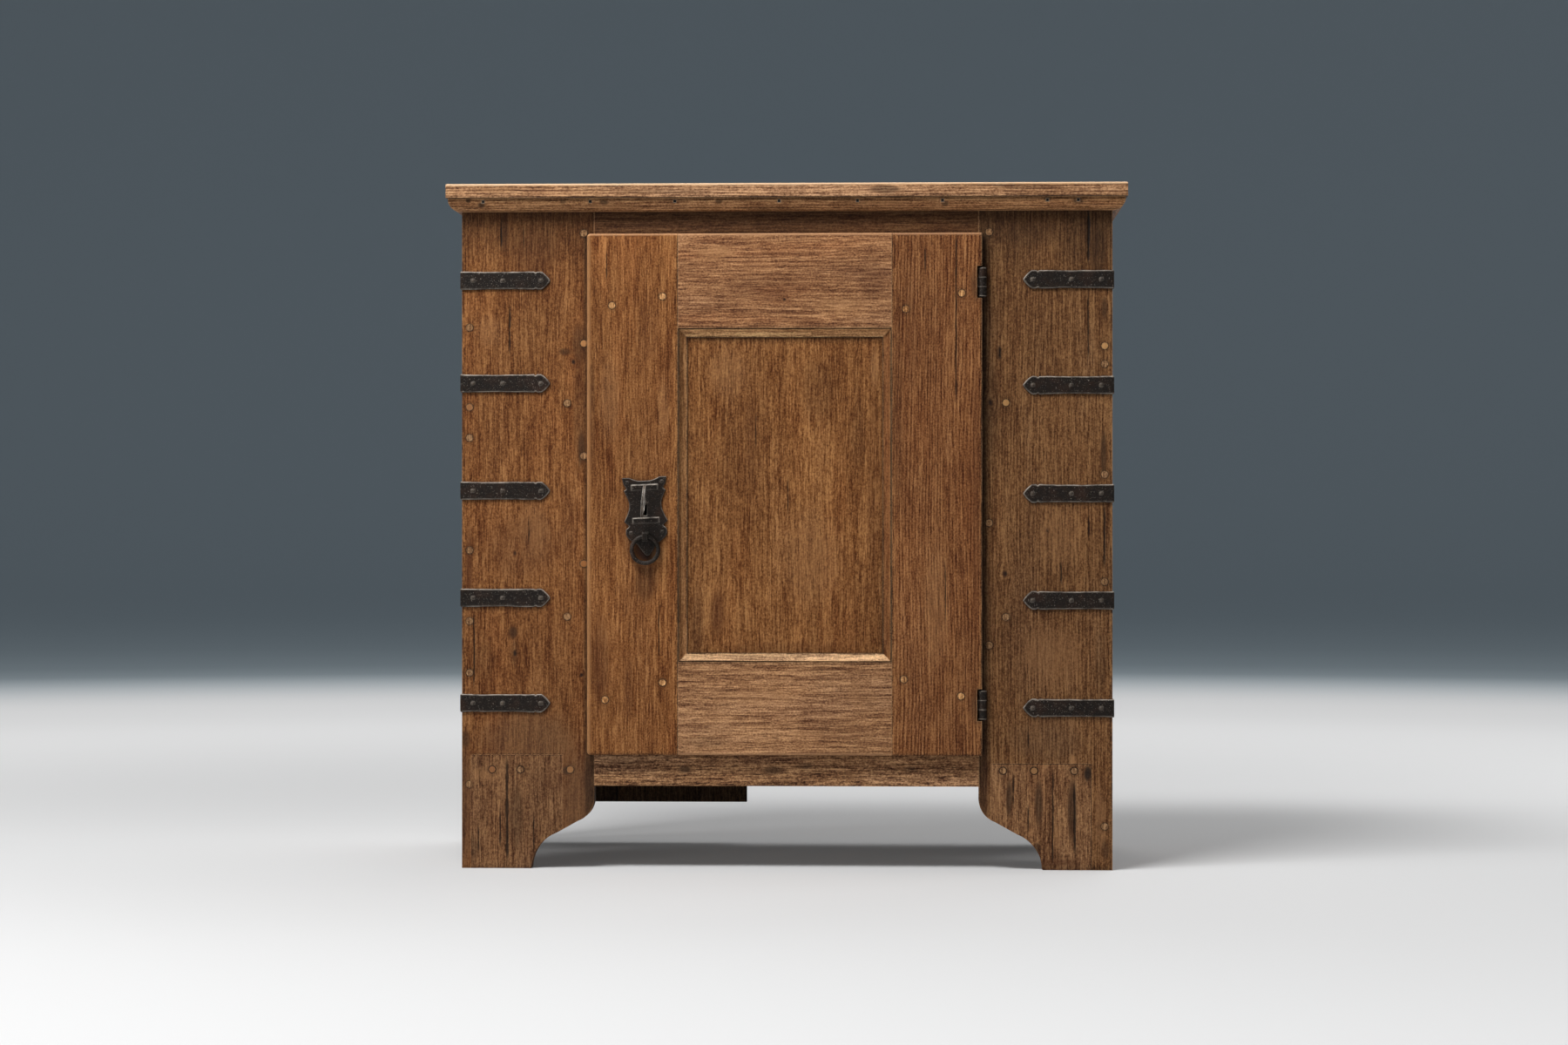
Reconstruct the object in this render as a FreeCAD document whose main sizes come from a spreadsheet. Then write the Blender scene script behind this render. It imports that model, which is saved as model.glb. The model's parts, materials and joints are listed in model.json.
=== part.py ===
"""An old oak cabinet: a framed carcass with shelves, one lipped door with a
fielded panel, iron corner straps, a rim lock with its key, and a pull ring.

Millimetres. X runs to the right, Y runs from the front to the back, Z is up.
The origin is on the floor, under the middle of the whole piece.
"""

import FreeCAD
import Part
import Sketcher

import math
import os
from types import SimpleNamespace

Vector = FreeCAD.Vector
Rotation = FreeCAD.Rotation
Placement = FreeCAD.Placement

SIZES = {
    # Carcass
    "carcass_width": 934,
    "carcass_height": 963,
    "carcass_depth": 440,
    "stile_width": 191,
    "frame_thickness": 26,
    "top_rail_height": 59,
    "bottom_rail_height": 53,
    "rail_underside_height": 119,
    "side_thickness": 22,
    "back_thickness": 14,
    "floor_thickness": 20,
    "shelf_thickness": 18,
    "shelf_lower_level": 362,
    "shelf_upper_level": 669,
    "dado_depth": 7,
    "bearer_size": 18,
    "tongue_length": 8,
    "tongue_thickness": 7,
    "back_gap_long": 62,
    "back_gap_short": 104,
    # Feet
    "foot_width": 100,
    "ogee_height": 104,
    "patch_thickness": 11,
    "patch_left_height": 163,
    "patch_left_width": 132,
    "patch_left_inset": 13,
    "patch_right_height": 152,
    "patch_right_width": 143,
    "patch_right_inset": 30,
    # Joints of the front frame
    "frame_tenon_length": 45,
    "frame_tenon_thickness": 9,
    "frame_tenon_setback": 13,
    "frame_tenon_shoulder": 6,
    # Top
    "top_thickness": 20,
    "top_side_overhang": 21,
    "top_front_overhang": 22,
    "top_front_board_depth": 250,
    "top_arris_radius": 2.5,
    "moulding_height": 19,
    "moulding_projection": 18,
    "moulding_flat": 5,
    # Pegs and plugs
    "peg_diameter": 9.5,
    "peg_proud": 0.6,
    "peg_reach": 24,
    "plug_length": 12,
    "shelf_peg_offset": 39,
    "rail_peg_offset": 15,
    "foot_peg_height": 142,
    # Door
    "opening_width": 552,
    "lip_thickness": 13,
    "lip_gap": 0.4,
    "lip_lock_side": 9.5,
    "lip_hinge_side": 4.5,
    "lip_height_overlap": 8,
    "rebate_depth": 13,
    "rebate_clearance": 3,
    "hinge_clearance": 2.6,
    "door_corner_radius": 5,
    "door_arris_radius": 3,
    "door_stile_width": 131,
    "door_hinge_stile_width": 129,
    "door_top_rail_height": 136,
    "door_bottom_rail_height": 133.5,
    "door_tenon_length": 62,
    "door_tenon_thickness": 8,
    "door_tenon_setback": 9.5,
    "door_tenon_shoulder": 16,
    "door_peg_length": 23,
    "panel_setback": 8,
    "panel_thickness": 10,
    "panel_bevel_width": 38,
    "panel_bevel_depth": 2,
    "groove_depth": 8,
    "panel_play": 1,
    "bead_width": 13,
    "bead_depth": 8.4,
    "bead_setback": 0.4,
    "bead_quirk": 1.6,
    # Hinges
    "hinge_upper_level": 841.4,
    "hinge_lower_level": 236.4,
    "hinge_axis_offset": 5.25,
    "hinge_axis_forward": 7,
    "knuckle_diameter": 12,
    "knuckle_height": 13,
    "knuckle_gap": 0.3,
    "pin_diameter": 5,
    "pin_play": 0.05,
    "pin_head_height": 1.9,
    "leaf_thickness": 1.8,
    "frame_leaf_width": 22,
    "barrel_clearance": 1.2,
    # Corner straps and their nails
    "strap_height": 26.5,
    "strap_thickness": 2.5,
    "strap_front_length": 128,
    "strap_side_length": 128,
    "strap_point_length": 13,
    "strap_nick_place": 21.5,
    "strap_nick_width": 4,
    "strap_nick_depth": 1.8,
    "strap_bend_radius": 1.2,
    "nail_head_width": 6,
    "nail_head_height": 1.9,
    "nail_shank_width": 2.6,
    "nail_point_width": 1,
    "nail_length": 17,
    "back_nail_length": 32,
    "moulding_nail_width": 4.6,
    # Lock, plate, ring and key
    "plate_width": 64,
    "plate_height": 113,
    "plate_thickness": 2.5,
    "plate_top_rise": 35,
    "plate_bar_height": 7.6,
    "plate_bar_width": 37.5,
    "plate_bar_thickness": 1,
    "plate_nail_length": 14,
    "keyhole_level": 527.5,
    "keyhole_inset": 84,
    "keyhole_diameter": 8,
    "keyhole_slot_width": 5,
    "keyhole_drop": 20,
    "ring_radius": 19.1,
    "ring_wire": 5.8,
    "ring_gap": 0.5,
    "staple_drop": 50,
    "staple_play": 0.7,
    "staple_wire": 2.6,
    "staple_width": 7,
    "staple_leg": 14,
    "key_reach": 48,
    "bow_height": 46,
    "bow_depth": 28,
    "bow_thickness": 3.6,
    "bow_rim": 6.5,
    "shank_diameter": 6.4,
    "collar_diameter": 10,
    "collar_length": 4,
    "bit_radius": 18,
    "bit_width": 11,
    "bit_thickness": 3,
    "bit_notch": 2.4,
    "case_depth": 23,
    "case_length": 110,
    "case_wall": 1.5,
    "case_inset": 3,
    "bit_clearance": 2,
    "bolt_height": 16,
    "bolt_thickness": 6,
    "bolt_length": 92,
    "bolt_travel": 16,
    "bolt_play": 0.4,
    "bolt_rise": 16,
    "talon_depth": 4,
    "talon_width": 26,
    "guide_length": 42,
    "keeper_inset": 2.5,
    "keeper_width": 12,
    "keeper_wire": 2.2,
    "keeper_play": 1.2,
    # Spare length of a cutting tool past the face that it opens
    "overrun": 5,
}

# Angles stay apart from the lengths
KEY_LEAN_DEGREES = 5
PLATE_LEAN_DEGREES = -2.5

doc = FreeCAD.newDocument("oak_cabinet")
sizes = doc.addObject("Spreadsheet::Sheet", "sizes")
places = doc.addObject("Spreadsheet::Sheet", "places")
pieces = []


class Size:
    """A length: its number, and the sheet formula that it comes from."""

    def __init__(self, formula, number):
        self.formula = formula
        self.number = number

    def __add__(self, other):
        return Size(f"({self.formula} + {other.formula})", self.number + other.number)

    def __sub__(self, other):
        return Size(f"({self.formula} - {other.formula})", self.number - other.number)

    def __neg__(self):
        return Size(f"(-1 * {self.formula})", -self.number)

    def __mul__(self, share):
        return Size(f"({self.formula} * {share:.6f})", self.number * share)

    def __truediv__(self, share):
        return Size(f"({self.formula} / {share:.6f})", self.number / share)


def fill_sizes():
    """Put every driving size into the sheet, as a plain number with an alias."""
    named = {}
    for row, (alias, number) in enumerate(SIZES.items(), start=1):
        sizes.set(f"A{row}", alias)
        sizes.set(f"B{row}", str(number))
        sizes.setAlias(f"B{row}", alias)
        named[alias] = Size(f"sizes.{alias}", number)
    return SimpleNamespace(**named)


def place(alias, size):
    """Keep a worked-out place as a formula cell, and return it as a length."""
    row = len(place.rows) + 1
    place.rows.append(alias)
    places.set(f"A{row}", alias)
    places.set(f"B{row}", "=" + size.formula)
    places.setAlias(f"B{row}", alias)
    return Size(f"places.{alias}", size.number)


place.rows = []
S = fill_sizes()
ZERO = Size("0", 0)


def hypotenuse(a, b):
    """The straight distance across two lengths at a right angle."""
    formula = f"sqrt({a.formula} ^ 2 + {b.formula} ^ 2)"
    return Size(formula, math.hypot(a.number, b.number))


# Main planes of the carcass
FRONT_REACH = S.lip_gap + S.lip_thickness + S.plate_thickness + S.key_reach
BACK_REACH = S.carcass_depth + S.nail_head_height
FRONT = place("front", (FRONT_REACH - BACK_REACH) / 2)
BACK = place("back", FRONT + S.carcass_depth)
FRAME_BACK = place("frame_back", FRONT + S.frame_thickness)
PLANK_FRONT = place("plank_front", BACK - S.back_thickness)
SIDE_MIDDLE = place("side_middle", (FRAME_BACK + PLANK_FRONT) / 2)
RIGHT = place("right", S.carcass_width / 2)
LEFT = place("left", -RIGHT)
SIDE_INNER = place("side_inner", RIGHT - S.side_thickness)
OPENING_HALF = place("opening_half", S.opening_width / 2)
OPENING_BOTTOM = place("opening_bottom", S.rail_underside_height + S.bottom_rail_height)
OPENING_TOP = place("opening_top", S.carcass_height - S.top_rail_height)
FLOOR_BOTTOM = place("floor_bottom", OPENING_BOTTOM - S.floor_thickness)
MOULDING_BOTTOM = place("moulding_bottom", S.carcass_height - S.moulding_height)
TOP_FACE = place("top_face", S.carcass_height + S.top_thickness)

# Main planes of the door
DOOR_LEFT = place("door_left", -(OPENING_HALF + S.lip_lock_side))
DOOR_RIGHT = place("door_right", OPENING_HALF + S.lip_hinge_side)
DOOR_BOTTOM = place("door_bottom", OPENING_BOTTOM - S.lip_height_overlap)
DOOR_TOP = place("door_top", OPENING_TOP + S.lip_height_overlap)
LIP_BACK = place("lip_back", FRONT - S.lip_gap)
DOOR_FACE = place("door_face", LIP_BACK - S.lip_thickness)
DOOR_BACK = place("door_back", FRONT + S.rebate_depth)
REBATE_LEFT = place("rebate_left", S.rebate_clearance - OPENING_HALF)
REBATE_RIGHT = place("rebate_right", OPENING_HALF - S.hinge_clearance)
PANEL_LEFT = place("panel_left", DOOR_LEFT + S.door_stile_width)
PANEL_RIGHT = place("panel_right", DOOR_RIGHT - S.door_hinge_stile_width)
PANEL_BOTTOM = place("panel_bottom", DOOR_BOTTOM + S.door_bottom_rail_height)
PANEL_TOP = place("panel_top", DOOR_TOP - S.door_top_rail_height)
PANEL_FACE = place("panel_face", DOOR_FACE + S.panel_setback)

# Lock and hinge places
PLATE_FACE = place("plate_face", DOOR_FACE - S.plate_thickness)
KEY_X = place("key_x", DOOR_LEFT + S.keyhole_inset)
HINGE_X = place("hinge_x", OPENING_HALF + S.hinge_axis_offset)
HINGE_Y = place("hinge_y", FRONT - S.hinge_axis_forward)
STAPLE_Z = place("staple_z", S.keyhole_level - S.staple_drop)
RING_Y = place("ring_y", PLATE_FACE - S.ring_gap - S.ring_wire / 2)
CASE_BACK = place("case_back", DOOR_BACK + S.case_depth)
CASE_LEFT = place("case_left", REBATE_LEFT + S.case_inset)
BOLT_BACK = place("bolt_back", CASE_BACK - S.case_wall - S.bolt_play)
BOLT_BOTTOM = place("bolt_bottom", S.keyhole_level + S.bolt_rise)
BOLT_TOP = place("bolt_top", BOLT_BOTTOM + S.bolt_height)


# Helpers


def bind(item, name, size):
    item.setExpression(name, size.formula)


def put(item, x=ZERO, y=ZERO, z=ZERO, turn=None):
    """Bind an object's place, after an optional turn about its own origin."""
    if turn:
        item.Placement = Placement(Vector(), turn)
    for axis, size in zip("xyz", (x, y, z)):
        bind(item, f"Placement.Base.{axis}", size)
    return item


def box(name, x, y, z):
    """A squared block, given by its low and high side along each axis."""
    item = doc.addObject("Part::Box", name + "_block")
    for side, (low, high) in zip(("Length", "Width", "Height"), (x, y, z)):
        bind(item, side, high - low)
    return put(item, x[0], y[0], z[0])


def cylinder(name, radius, height, x, y, z, turn=None):
    item = doc.addObject("Part::Cylinder", name + "_round")
    bind(item, "Radius", radius)
    bind(item, "Height", height)
    return put(item, x, y, z, turn)


def cut(name, base, *tools):
    """Take each tool out of the base, one after another. Tools in one list are
    clear of each other and come out together."""
    for tool in tools:
        if isinstance(tool, list):
            tool = group(name + "_tools", tool)
        item = doc.addObject("Part::Cut", name + "_cut")
        item.Base = base
        item.Tool = tool
        base = item
    return base


def common(name, base, tool):
    item = doc.addObject("Part::Common", name + "_shared")
    item.Base = base
    item.Tool = tool
    return item


def fuse(name, *shapes):
    item = doc.addObject("Part::MultiFuse", name + "_joined")
    item.Shapes = shapes
    item.Refine = True
    return item


def group(name, items):
    item = doc.addObject("Part::Compound", name + "_group")
    item.Links = items
    return item


def piece(label, item):
    """Name a finished sub-part."""
    item.Label = label
    pieces.append(item)
    return item


def new_body(name):
    return doc.addObject("PartDesign::Body", name + "_body")


def outline(body, role, corners):
    """A closed sketch. A corner is (x, y), or (x, y, bulge) where the side
    that starts there is an arc: bulge is its height over half its chord, and
    a positive one turns to the left."""
    item = body.newObject("Sketcher::SketchObject", body.Name + "_outline")
    plane = next(part for part in body.Origin.OriginFeatures if part.Role == role)
    item.AttachmentSupport = [(plane, "")]
    item.MapMode = "FlatFace"
    for first, second in zip(corners, corners[1:] + corners[:1]):
        draw_side(item, first, second)
    return item


def draw_side(item, first, second):
    start = Vector(first[0].number, first[1].number, 0)
    end = Vector(second[0].number, second[1].number, 0)
    if len(first) == 2:
        side = item.addGeometry(Part.LineSegment(start, end), False)
    else:
        bulge = first[2]
        chord = end - start
        middle = (start + end) / 2 + Vector(chord.y, -chord.x, 0) * bulge / 2
        side = item.addGeometry(Part.Arc(start, middle, end), False)
        across = hypotenuse(second[0] - first[0], second[1] - first[1])
        radius = across * ((1 + bulge * bulge) / (4 * abs(bulge)))
        hold(item, radius, "Radius", side)
    from_start = (item.getPoint(side, 1) - start).Length
    from_end = (item.getPoint(side, 1) - end).Length
    corners = (first, second) if from_start < from_end else (second, first)
    for point, corner in enumerate(corners, start=1):
        hold(item, corner[0], "DistanceX", -1, 1, side, point)
        hold(item, corner[1], "DistanceY", -1, 1, side, point)


def hold(item, size, kind, *places_held):
    """Add one dimension to a sketch and bind it."""
    rule = Sketcher.Constraint(kind, *places_held, size.number)
    bind(item, f"Constraints[{item.addConstraint(rule)}]", size)


def pad(body, sketch, length, away=False, both=False):
    item = body.newObject("PartDesign::Pad", body.Name + "_pad")
    item.Profile = sketch
    bind(item, "Length", length)
    item.Reversed = away
    if both:
        item.SideType = "Symmetric"
    sketch.Visibility = False
    body.Tip = item
    return item


def pocket(body, sketch, length, away=False, both=False):
    item = body.newObject("PartDesign::Pocket", body.Name + "_pocket")
    item.Profile = sketch
    bind(item, "Length", length)
    item.Reversed = away
    if both:
        item.SideType = "Symmetric"
    body.Tip = item
    return item


def revolve(body, sketch):
    """Turn a sketch about its own upright axis."""
    item = body.newObject("PartDesign::Revolution", body.Name + "_turned")
    item.Profile = sketch
    item.ReferenceAxis = (sketch, ["V_Axis"])
    body.Tip = item
    return item


def round_edges(body, radius, chosen):
    """Round the edges of the body so far that the test picks out."""
    doc.recompute()
    base = body.Tip
    names = [
        f"Edge{number}"
        for number, edge in enumerate(base.Shape.Edges, start=1)
        if chosen(edge)
    ]
    item = body.newObject("PartDesign::Fillet", body.Name + "_rounded")
    item.Base = (base, names)
    bind(item, "Radius", radius)
    body.Tip = item
    return item


def near(a, b):
    return abs(a - b) < TOUCH


def flat_at(edge, axis, number):
    """True where the whole edge lies in the plane axis = number."""
    spots = [getattr(vertex.Point, axis) for vertex in edge.Vertexes]
    return all(near(spot, number) for spot in spots)


# Two places nearer than this are one place
TOUCH = SIZES["pin_play"] / 10
QUARTER_SHARE = math.tan(math.pi / 8)


# Feet and the outlines above them

# From the inner edge towards the foot, and down: shares of the cut's width and
# height. The third value is the bulge of the arc that starts there.
OGEE_SHARES = (
    (0, 1, -0.34),
    (0.25, 0.66),
    (0.6, 0.49, 0.3),
    (1, 0),
)


def ogee(edge, width, sign):
    """The cut between an upright edge and a foot. sign is -1 where the foot
    lies on the low side of the edge."""
    corners = []
    for along, up, *bulge in OGEE_SHARES:
        corner = [edge + width * (sign * along), S.ogee_height * up]
        corners.append(tuple(corner + [-sign * share for share in bulge]))
    return corners


# Pegs, plugs and nails


def peg(name, diameter, length, x, y, z, turn):
    """A hand-shaved eight-sided peg."""
    item = doc.addObject("Part::Prism", name)
    item.Polygon = 8
    bind(item, "Circumradius", diameter / 2)
    bind(item, "Height", length)
    return put(item, x, y, z, turn)


INWARD = Rotation(Vector(1, 0, 0), -90)
UPRIGHT = Rotation()

# Heights of the pegs into the edge of each side board
CORNER_PEG_SHARES = {
    -1: (0.808, 0.689, 0.643, 0.475, 0.369, 0.292, 0.125),
    1: (0.779, 0.752, 0.588, 0.4285, 0.065),
}
# Heights of the short plugs beside the opening
PLUG_SHARES = {-1: (0.784, 0.616, 0.455), 1: (0.516, 0.334)}
# Across a stile, the pegs that hold each foot patch
FOOT_PEG_SHARES = {-1: (0.228, 0.442), 1: (0.285, 0.586)}
# Across the top, the pegs that hold it to the frame and the sides
TOP_PEG_SHARES = (0.075, 0.28, 0.5, 0.72, 0.925)


def front_peg(name, x, z, length):
    start = FRONT - S.peg_proud
    return peg(name, S.peg_diameter, length + S.peg_proud, x, start, z, INWARD)


def make_front_pegs(side):
    """The pegs and plugs of one front stile."""
    pegs = []
    deep = S.frame_thickness + S.peg_reach
    for share in CORNER_PEG_SHARES[side]:
        x = (RIGHT - S.side_thickness / 2) * side
        pegs.append(front_peg("corner_peg", x, S.carcass_height * share, deep))
    for level in (S.shelf_lower_level, S.shelf_upper_level):
        x = (OPENING_HALF + S.shelf_peg_offset) * side
        pegs.append(front_peg("shelf_peg", x, level, deep))
    beside = (OPENING_HALF + S.rail_peg_offset) * side
    for share in PLUG_SHARES[side]:
        z = S.carcass_height * share
        pegs.append(front_peg("plug", beside, z, S.plug_length))
    z = OPENING_TOP + S.peg_diameter
    pegs.append(front_peg("rail_peg", beside, z, S.peg_reach))
    x = (OPENING_HALF + S.frame_tenon_length * 0.77) * side
    pegs.append(front_peg("rail_peg", x, S.foot_peg_height, S.peg_reach))
    for share in FOOT_PEG_SHARES[side]:
        x = (RIGHT - S.stile_width * share) * side
        pegs.append(front_peg("foot_peg", x, S.foot_peg_height, S.peg_reach))
    return pegs


def make_top_pegs():
    pegs = []
    start = TOP_FACE - S.top_thickness - S.peg_reach
    for share in TOP_PEG_SHARES:
        x = LEFT + S.carcass_width * share
        y = FRONT + S.frame_thickness / 2
        length = S.peg_reach + S.top_thickness
        pegs.append(peg("top_peg", S.peg_diameter, length, x, y, start, UPRIGHT))
    return pegs


def nail_shape(head_width, head_height, length):
    """A forged nail with a four-sided head. The head stands up the Y axis."""
    shank = S.nail_shank_width.number / 2
    point = S.nail_point_width.number / 2
    rim = head_width / 2
    head = Part.makeWedge(
        -rim, 0, -rim, -point, -point, rim, head_height, rim, point, point
    )
    shaft = Part.makeWedge(
        -shank, 0, -shank, -point, -point, shank, length, shank, point, point
    )
    shaft.rotate(Vector(), Vector(1, 0, 0), 180)
    return head.fuse(shaft).removeSplitter()


def nail_group(name, nails):
    """One node of loose nails. Each is (shape, place, way the head points)."""
    item = doc.addObject("Part::Feature", name + "_set")
    driven = []
    for shape, spot, out in nails:
        nail = shape.copy()
        nail.Placement = Placement(spot, Rotation(Vector(0, 1, 0), out))
        driven.append(nail)
    item.Shape = Part.makeCompound(driven)
    return item


# Corner straps

# Heights of the straps up each corner, from the top one down
STRAP_SHARES = {
    -1: (0.878, 0.7243, 0.5639, 0.4039, 0.2466),
    1: (0.878, 0.7207, 0.5597, 0.4008, 0.2409),
}
# Nails along the front leg and the side leg of a strap
FRONT_NAIL_SHARES = (0.125, 0.46, 0.89)
SIDE_NAIL_SHARES = (0.3, 0.58, 0.89)
# How far a strap's long edges draw in, and how full its point is
STRAP_WAIST_SHARE = 0.012
STRAP_POINT_SHARE = 0.12


def leg_corners(start, length, sign):
    """One leg of a strap, flat: two long edges, a nick in each behind the
    shoulder, and a pointed end. sign is -1 where the leg runs to low values."""
    half = S.strap_height / 2
    nick = length - S.strap_nick_place
    reach = S.strap_nick_width / 2
    shoulder = length - S.strap_point_length
    deep = half - S.strap_nick_depth
    waist = STRAP_WAIST_SHARE * sign
    full = STRAP_POINT_SHARE * sign
    return [
        (start * sign, -half, -waist),
        ((nick - reach) * sign, -half),
        (nick * sign, -deep),
        ((nick + reach) * sign, -half),
        (shoulder * sign, -half, full),
        (length * sign, ZERO, full),
        (shoulder * sign, half),
        ((nick + reach) * sign, half),
        (nick * sign, deep),
        ((nick - reach) * sign, half, -waist),
        (start * sign, half),
    ]


def make_strap(name, side, z):
    """A strap bent round a front corner. side is -1 at the left corner."""
    body = new_body(name)
    front = leg_corners(-S.strap_thickness, S.strap_front_length, -side)
    pad(body, outline(body, "XZ_Plane", front), S.strap_thickness)
    flank = leg_corners(-S.strap_thickness, S.strap_side_length, 1)
    pad(body, outline(body, "YZ_Plane", flank), S.strap_thickness, away=side < 0)
    edge_x = S.strap_thickness.number * side
    edge_y = -S.strap_thickness.number

    def outer_corner(edge):
        return flat_at(edge, "x", edge_x) and flat_at(edge, "y", edge_y)

    round_edges(body, S.strap_bend_radius, outer_corner)
    return put(body, RIGHT * side, FRONT, z)


def strap_nails(side, z):
    """The nails of one strap, through both its legs."""
    shape = nail_shape(
        S.nail_head_width.number, S.nail_head_height.number, S.nail_length.number
    )
    thick = S.strap_thickness.number
    corner = RIGHT.number * side
    nails = []
    for share in FRONT_NAIL_SHARES:
        x = corner - side * S.strap_front_length.number * share
        spot = Vector(x, FRONT.number - thick, z.number)
        nails.append((shape, spot, Vector(0, -1, 0)))
    for share in SIDE_NAIL_SHARES:
        y = FRONT.number + S.strap_side_length.number * share
        spot = Vector(corner + side * thick, y, z.number)
        nails.append((shape, spot, Vector(side, 0, 0)))
    return nail_group("strap_nails", nails)


def make_straps():
    """All the straps, each pierced by its own nails. Returns the nails of the
    left corner and of the right corner."""
    sides = []
    for name, side in (("left", -1), ("right", 1)):
        sets = []
        for number, share in enumerate(STRAP_SHARES[side], start=1):
            z = S.carcass_height * share
            body = make_strap(f"strap_{name}_{number}", side, z)
            sets.append(strap_nails(side, z))
            label = f"corner_strap_{name}_{number}"
            piece(label, cut(label, body, sets[-1]))
        sides.append(group("strap_nails_" + name, sets))
    piece("strap_nails", group("strap_nails", sides))
    return sides


# Nails of the back and of the moulding

# Widths of the back planks, from the left
PLANK_SHARES = (0.2, 0.217, 0.197, 0.193, 0.193)
# Across each plank, and along the front moulding
PLANK_NAIL_SHARES = (0.2, 0.8)
MOULDING_NAIL_SHARES = (0.035, 0.2, 0.33, 0.49, 0.61, 0.74, 0.9, 0.947)


def plank_edges():
    """The upright joints between the back planks, from left to right."""
    edges = [LEFT]
    done = 0
    for share in PLANK_SHARES:
        done += share
        edges.append(LEFT + S.carcass_width * done)
    return edges


def back_nails():
    shape = nail_shape(
        S.nail_head_width.number, S.nail_head_height.number, S.back_nail_length.number
    )
    nails = []
    floor_level = (FLOOR_BOTTOM + OPENING_BOTTOM) / 2
    levels = (floor_level, S.shelf_lower_level, S.shelf_upper_level)
    edges = plank_edges()
    for low, high in zip(edges, edges[1:]):
        for share in PLANK_NAIL_SHARES:
            x = low + (high - low) * share
            for level in levels:
                spot = Vector(x.number, BACK.number, level.number)
                nails.append((shape, spot, Vector(0, 1, 0)))
    return nail_group("back_nails", nails)


def moulding_nails():
    """Square shanks driven flush into the front moulding."""
    width = S.moulding_nail_width.number
    length = (S.moulding_projection + S.nail_length).number
    shape = Part.makeBox(width, length, width, Vector(-width / 2, -length, -width / 2))
    z = (MOULDING_BOTTOM + S.moulding_height * 0.72).number
    nails = []
    for share in MOULDING_NAIL_SHARES:
        x = (LEFT + S.carcass_width * share).number
        spot = Vector(x, (FRONT - S.moulding_projection).number, z)
        nails.append((shape, spot, Vector(0, -1, 0)))
    return nail_group("moulding_nails", nails)


# Carcass wood


def stile_blank(name, side):
    """A front stile with its foot, before any joint is cut."""
    body = new_body(name)
    edge = OPENING_HALF * side
    corners = [
        (RIGHT * side, ZERO),
        (RIGHT * side, S.carcass_height),
        (edge, S.carcass_height),
    ]
    corners += ogee(edge, S.stile_width - S.foot_width, side)
    pad(body, outline(body, "XZ_Plane", corners), S.frame_thickness, away=True)
    return put(body, y=FRONT)


def tenon(name, x, z, setback, thickness, face):
    start = face + setback
    return box(name, x, (start, start + thickness), z)


def frame_rail(name, z):
    """A rail of the front frame with a tenon at each end."""
    shoulder = S.frame_tenon_shoulder
    inner = (z[0] + shoulder, z[1] - shoulder)
    reach = OPENING_HALF + S.frame_tenon_length
    rail = box(name, (-OPENING_HALF, OPENING_HALF), (FRONT, FRAME_BACK), z)
    left = tenon(
        name + "_tenon", (-reach, -OPENING_HALF), inner,
        S.frame_tenon_setback, S.frame_tenon_thickness, FRONT,
    )
    right = tenon(
        name + "_tenon", (OPENING_HALF, reach), inner,
        S.frame_tenon_setback, S.frame_tenon_thickness, FRONT,
    )
    return fuse(name + "_blank", rail, left, right)


def patch_block(side):
    """The block of new wood let into the face of a foot."""
    inset, width, height = {
        -1: (S.patch_left_inset, S.patch_left_width, S.patch_left_height),
        1: (S.patch_right_inset, S.patch_right_width, S.patch_right_height),
    }[side]
    ends = (RIGHT - inset - width, RIGHT - inset)
    x = ends if side > 0 else (-ends[1], -ends[0])
    y = (FRONT - S.overrun, FRONT + S.patch_thickness)
    return box("patch_block", x, y, (-S.overrun, height))


def side_board(name, side, rear):
    """Half of a side: an upright board that ends in a foot."""
    body = new_body(name)
    foot = S.foot_width - S.frame_thickness
    if rear:
        outer, edge, sign = PLANK_FRONT, PLANK_FRONT - S.stile_width + S.frame_thickness, 1
    else:
        outer, edge, sign = FRAME_BACK, FRONT + S.stile_width, -1
    corners = [
        (outer, ZERO),
        (outer, S.carcass_height),
        (SIDE_MIDDLE, S.carcass_height),
        (SIDE_MIDDLE, S.rail_underside_height),
        (edge, S.rail_underside_height),
    ]
    corners += ogee(edge, S.stile_width - S.frame_thickness - foot, sign)
    pad(body, outline(body, "YZ_Plane", corners), S.side_thickness)
    return put(body, x=LEFT if side < 0 else SIDE_INNER)


def across_depth(name, z, reach):
    """A board that spans the carcass between the sides."""
    return box(name, (-reach, reach), (FRAME_BACK, PLANK_FRONT), z)


def bearer_x(side):
    low = SIDE_INNER - S.bearer_size
    return (low, SIDE_INNER) if side > 0 else (-SIDE_INNER, -low)


def make_bearers():
    """Battens nailed to the sides under each shelf."""
    battens = []
    for level in (S.shelf_lower_level, S.shelf_upper_level):
        under = level - S.shelf_thickness / 2
        for side in (-1, 1):
            z = (under - S.bearer_size, under)
            y = (FRAME_BACK, PLANK_FRONT)
            battens.append(box("bearer", bearer_x(side), y, z))
    return group("shelf_bearers", battens)


def moulding_corners():
    """Profile of the moulding under the top: across (outward) and up."""
    lip = S.moulding_height - S.moulding_flat
    return [
        (ZERO, ZERO),
        (S.moulding_projection * 0.12, ZERO, 0.34),
        (S.moulding_projection, lip),
        (S.moulding_projection, S.moulding_height),
        (ZERO, S.moulding_height),
    ]


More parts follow.
